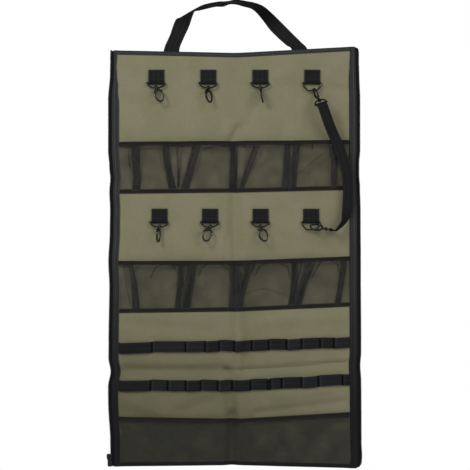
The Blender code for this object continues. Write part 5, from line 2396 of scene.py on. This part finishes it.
@dataclass(frozen=True)
class Studio:
    """A pale floor, a white surround, soft lamps and the camera."""

    lens: float = 135
    sensor: float = 36
    eye: tuple[float, float, float] = (0.0007, -4.232, -0.561)
    floor_z: float = -1.20
    front: float = 0.50
    sides: float = 0.10
    back: float = 0.46
    key: float = 30
    fill: float = 22
    rear: float = 42

    def build(self) -> None:
        """Set up everything that isn't the object."""
        self.add_floor()
        self.add_surround()
        self.add_lamp("key_lamp", (-1.35, -1.75, 0.95), 0.85, self.key)
        self.add_lamp("fill_lamp", (1.9, -2.2, 0.3), 1.2, self.fill)
        self.add_lamp("rear_lamp", (0.6, 2.6, 1.2), 2.0, self.rear)
        self.add_camera()

    def add_floor(self) -> None:
        """Lay the pale floor just under the camera's view."""
        bm = bmesh.new()
        bmesh.ops.create_grid(bm, x_segments=8, y_segments=8, size=1.0)
        bmesh.ops.transform(
            bm, verts=bm.verts[:],
            matrix=Matrix.Translation((0, -0.5, self.floor_z)) @ Matrix.Diagonal((1.6, 1.0, 1, 1)))
        board = Board("pale_floor")
        colour = board.tint(board.cloud(3.0), display(226, 226, 224), display(236, 236, 235))
        material = board.dress(board.cloud(200.0), 0.0002, Base_Color=colour, Roughness=0.7)
        link_piece("studio_floor", to_mesh("studio_floor", bm), material)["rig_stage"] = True

    def add_surround(self) -> None:
        """Make the world white to look at, and a light that is strongest in front and above."""
        world = bpy.data.worlds.new("studio")
        bpy.context.scene.world = world
        world.use_nodes = True
        nodes, links = world.node_tree.nodes, world.node_tree.links
        nodes.clear()
        place = nodes.new("ShaderNodeTexCoord")
        split = nodes.new("ShaderNodeSeparateXYZ")
        links.new(place.outputs["Generated"], split.inputs[0])
        ramp = nodes.new("ShaderNodeFloatCurve")
        shift = nodes.new("ShaderNodeMapRange")
        shift.inputs["From Min"].default_value = -1.0
        links.new(split.outputs[1], shift.inputs[0])
        links.new(shift.outputs[0], ramp.inputs["Value"])
        curve = ramp.mapping.curves[0]
        curve.points[0].location = (0.0, self.front)
        curve.points[1].location = (1.0, self.back)
        curve.points.new(0.22, self.front * 0.8)
        curve.points.new(0.50, self.sides)
        ramp.mapping.update()
        rise = nodes.new("ShaderNodeMapRange")
        rise.inputs["From Min"].default_value = -0.8
        rise.inputs["From Max"].default_value = 0.8
        rise.inputs["To Min"].default_value = 0.55
        rise.inputs["To Max"].default_value = 1.45
        links.new(split.outputs[2], rise.inputs[0])
        both = nodes.new("ShaderNodeMath")
        both.operation = "MULTIPLY"
        links.new(ramp.outputs[0], both.inputs[0])
        links.new(rise.outputs[0], both.inputs[1])
        light = nodes.new("ShaderNodeBackground")
        links.new(both.outputs[0], light.inputs["Strength"])
        white = nodes.new("ShaderNodeBackground")
        rays = nodes.new("ShaderNodeLightPath")
        pick = nodes.new("ShaderNodeMixShader")
        links.new(rays.outputs["Is Camera Ray"], pick.inputs[0])
        links.new(light.outputs[0], pick.inputs[1])
        links.new(white.outputs[0], pick.inputs[2])
        for node in (light, white):
            node.inputs["Color"].default_value = (1, 1, 1, 1)
        out = nodes.new("ShaderNodeOutputWorld")
        links.new(pick.outputs[0], out.inputs[0])
        bpy.context.scene.view_settings.view_transform = "Standard"

    def add_lamp(self, name: str, spot: Sequence[float], size: float, power: float) -> None:
        """Hang a soft square lamp that faces the object.

        Args:
            name: The lamp's name.
            spot: Its place.
            size: Its side.
            power: Its power in watts.
        """
        lamp = bpy.data.lights.new(name, "AREA")
        lamp.shape = "SQUARE"
        lamp.size = size
        lamp.energy = power
        obj = bpy.data.objects.new(name, lamp)
        bpy.context.collection.objects.link(obj)
        obj.location = spot
        aim = Vector((0, 0, MIDDLE)) - Vector(spot)
        obj.rotation_euler = aim.to_track_quat("-Z", "Y").to_euler()

    def add_camera(self) -> None:
        """Stand the camera square-on to the object."""
        data = bpy.data.cameras.new("camera")
        data.lens = self.lens
        data.sensor_width = self.sensor
        camera = bpy.data.objects.new("camera", data)
        bpy.context.collection.objects.link(camera)
        camera.location = self.eye
        camera.rotation_euler = (math.pi / 2, 0, 0)
        bpy.context.scene.camera = camera


UPPER_NET = NetRow(
    "upper", 0.2185,
    (
        Pleat((-0.2441, -0.2273), (-0.2441, -0.2273)),
        Pleat((-0.1697, -0.1585), (-0.1545, -0.1380), -0.0055),
        Pleat((-0.0960, -0.0794), (-0.1313, -0.1145)),
        Pleat((-0.0080, 0.0006), (-0.0137, 0.0050)),
        Pleat((0.0487, 0.0631), (0.0080, 0.0170)),
        Pleat((0.1207, 0.1303), (0.1120, 0.1290), 0.0016),
        Pleat((0.1416, 0.1541), (0.1327, 0.1457)),
        Pleat((0.2326, 0.2450), (0.2326, 0.2450)),
    ),
    (
        Wrinkle(((-0.2455, 0.008), (-0.2520, 0.030), (-0.2515, 0.060))),
        Wrinkle(((-0.2376, 0.006), (-0.2400, 0.035))),
        Wrinkle(((-0.2177, 0.006), (-0.2270, 0.025), (-0.2297, 0.045))),
        Wrinkle(((-0.1373, 0.006), (-0.1361, 0.108))),
        Wrinkle(((-0.1241, 0.006), (-0.1300, 0.045), (-0.1355, 0.104))),
        Wrinkle(((-0.1465, 0.085), (-0.1440, 0.114))),
        Wrinkle(((-0.0713, 0.018), (-0.0400, 0.010), (-0.0160, 0.014), (-0.0065, 0.026))),
        Wrinkle(((0.0060, 0.008), (0.0040, 0.057), (0.0010, 0.100))),
        Wrinkle(((0.0200, 0.006), (0.0270, 0.024))),
        Wrinkle(((0.1563, 0.006), (0.1351, 0.069))),
        Wrinkle(((0.1855, 0.006), (0.1850, 0.024))),
        Wrinkle(((0.2215, 0.010), (0.2270, 0.020), (0.2290, 0.042))),
        Wrinkle(((0.1519, 0.081), (0.2215, 0.024)), 0.0012, 0.0008, 0.5),
    ),
)
LOWER_NET = NetRow(
    "lower", 0.5020,
    (
        Pleat((-0.2513, -0.2441), (-0.2426, -0.2261), 0.0015),
        Pleat((-0.1342, -0.1248), (-0.1457, -0.1325), 0.0020),
        Pleat((-0.1104, -0.0898), (-0.1305, -0.1104), 0.0010),
        Pleat((-0.0065, 0.0079), (-0.0150, 0.0035)),
        Pleat((0.0271, 0.0530), (0.0060, 0.0170), -0.0070),
        Pleat((0.1380, 0.1495), (0.1265, 0.1400), 0.0035),
        Pleat((0.1774, 0.1944), (0.1410, 0.1570), -0.0030),
        Pleat((0.2560, 0.2685), (0.2376, 0.2500), 0.0010),
    ),
    (
        Wrinkle(
            ((0.0187, 0.0838), (0.0460, 0.0730), (0.0744, 0.0694), (0.1255, 0.0886)),
            0.0012, 0.0008, 0.45),
        Wrinkle(((-0.2620, 0.012), (-0.2590, 0.050), (-0.2500, 0.100)), 0.0016, 0.0010, 0.45),
        Wrinkle(((-0.1195, 0.008), (-0.1270, 0.060))),
        Wrinkle(((-0.2000, 0.040), (-0.1900, 0.018), (-0.1700, 0.008))),
        Wrinkle(((-0.1500, 0.008), (-0.1420, 0.020))),
        Wrinkle(((-0.0850, 0.034), (-0.0780, 0.016), (-0.0600, 0.008))),
        Wrinkle(((-0.0100, 0.046), (-0.0160, 0.018), (-0.0400, 0.008))),
        Wrinkle(((0.0500, 0.034), (0.0600, 0.014), (0.0850, 0.008))),
        Wrinkle(((0.1330, 0.044), (0.1270, 0.018), (0.1050, 0.008))),
        Wrinkle(((0.2500, 0.040), (0.2440, 0.016), (0.2280, 0.008))),
        Wrinkle(((0.0100, 0.008), (0.0085, 0.080))),
        Wrinkle(((0.1600, 0.008), (0.1420, 0.080), (0.1390, 0.112))),
        Wrinkle(((0.2050, 0.010), (0.1850, 0.045))),
    ),
)
UPPER_TACKS = (
    -0.1968, -0.1186, -0.0713, -0.0377, -0.0017, 0.0403, 0.0811, 0.1243, 0.1591, 0.2023, 0.2359)
LOWER_TACKS = (
    -0.1997, -0.1601, -0.1181, -0.0821, -0.0413, -0.0065, 0.0379, 0.0790, 0.0850, 0.1123, 0.1591,
    0.1987, 0.2575)


def main() -> None:
    """Build the object from the cloth outwards, and the studio round it."""
    logging.basicConfig(level=logging.INFO, format="%(name)s %(message)s")
    Studio().build()
    CanvasPanel().build()
    EdgeBinding().build()
    for row in (UPPER_NET, LOWER_NET):
        row.build()
    BottomPocket().build()
    LoopRow("upper", 0.6980, UPPER_TACKS).build()
    LoopRow("lower", 0.7897, LOWER_TACKS).build()
    CarryHandle().build()
    for side in Side:
        ZipSide(side).build()
    ZipSlider().build()
    upper, lower = HardwareRow("upper", (20, 5, 9)), HardwareRow("lower", (-5, -17, 17))
    upper.build()
    lower.build()
    HookStrap().build(upper, lower)
    boxes = {
        name: [list(corner) for corner in box]
        for name, box in (("cad", CAD_BOX), ("visual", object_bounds()))}


if __name__ == "__main__":
    main()
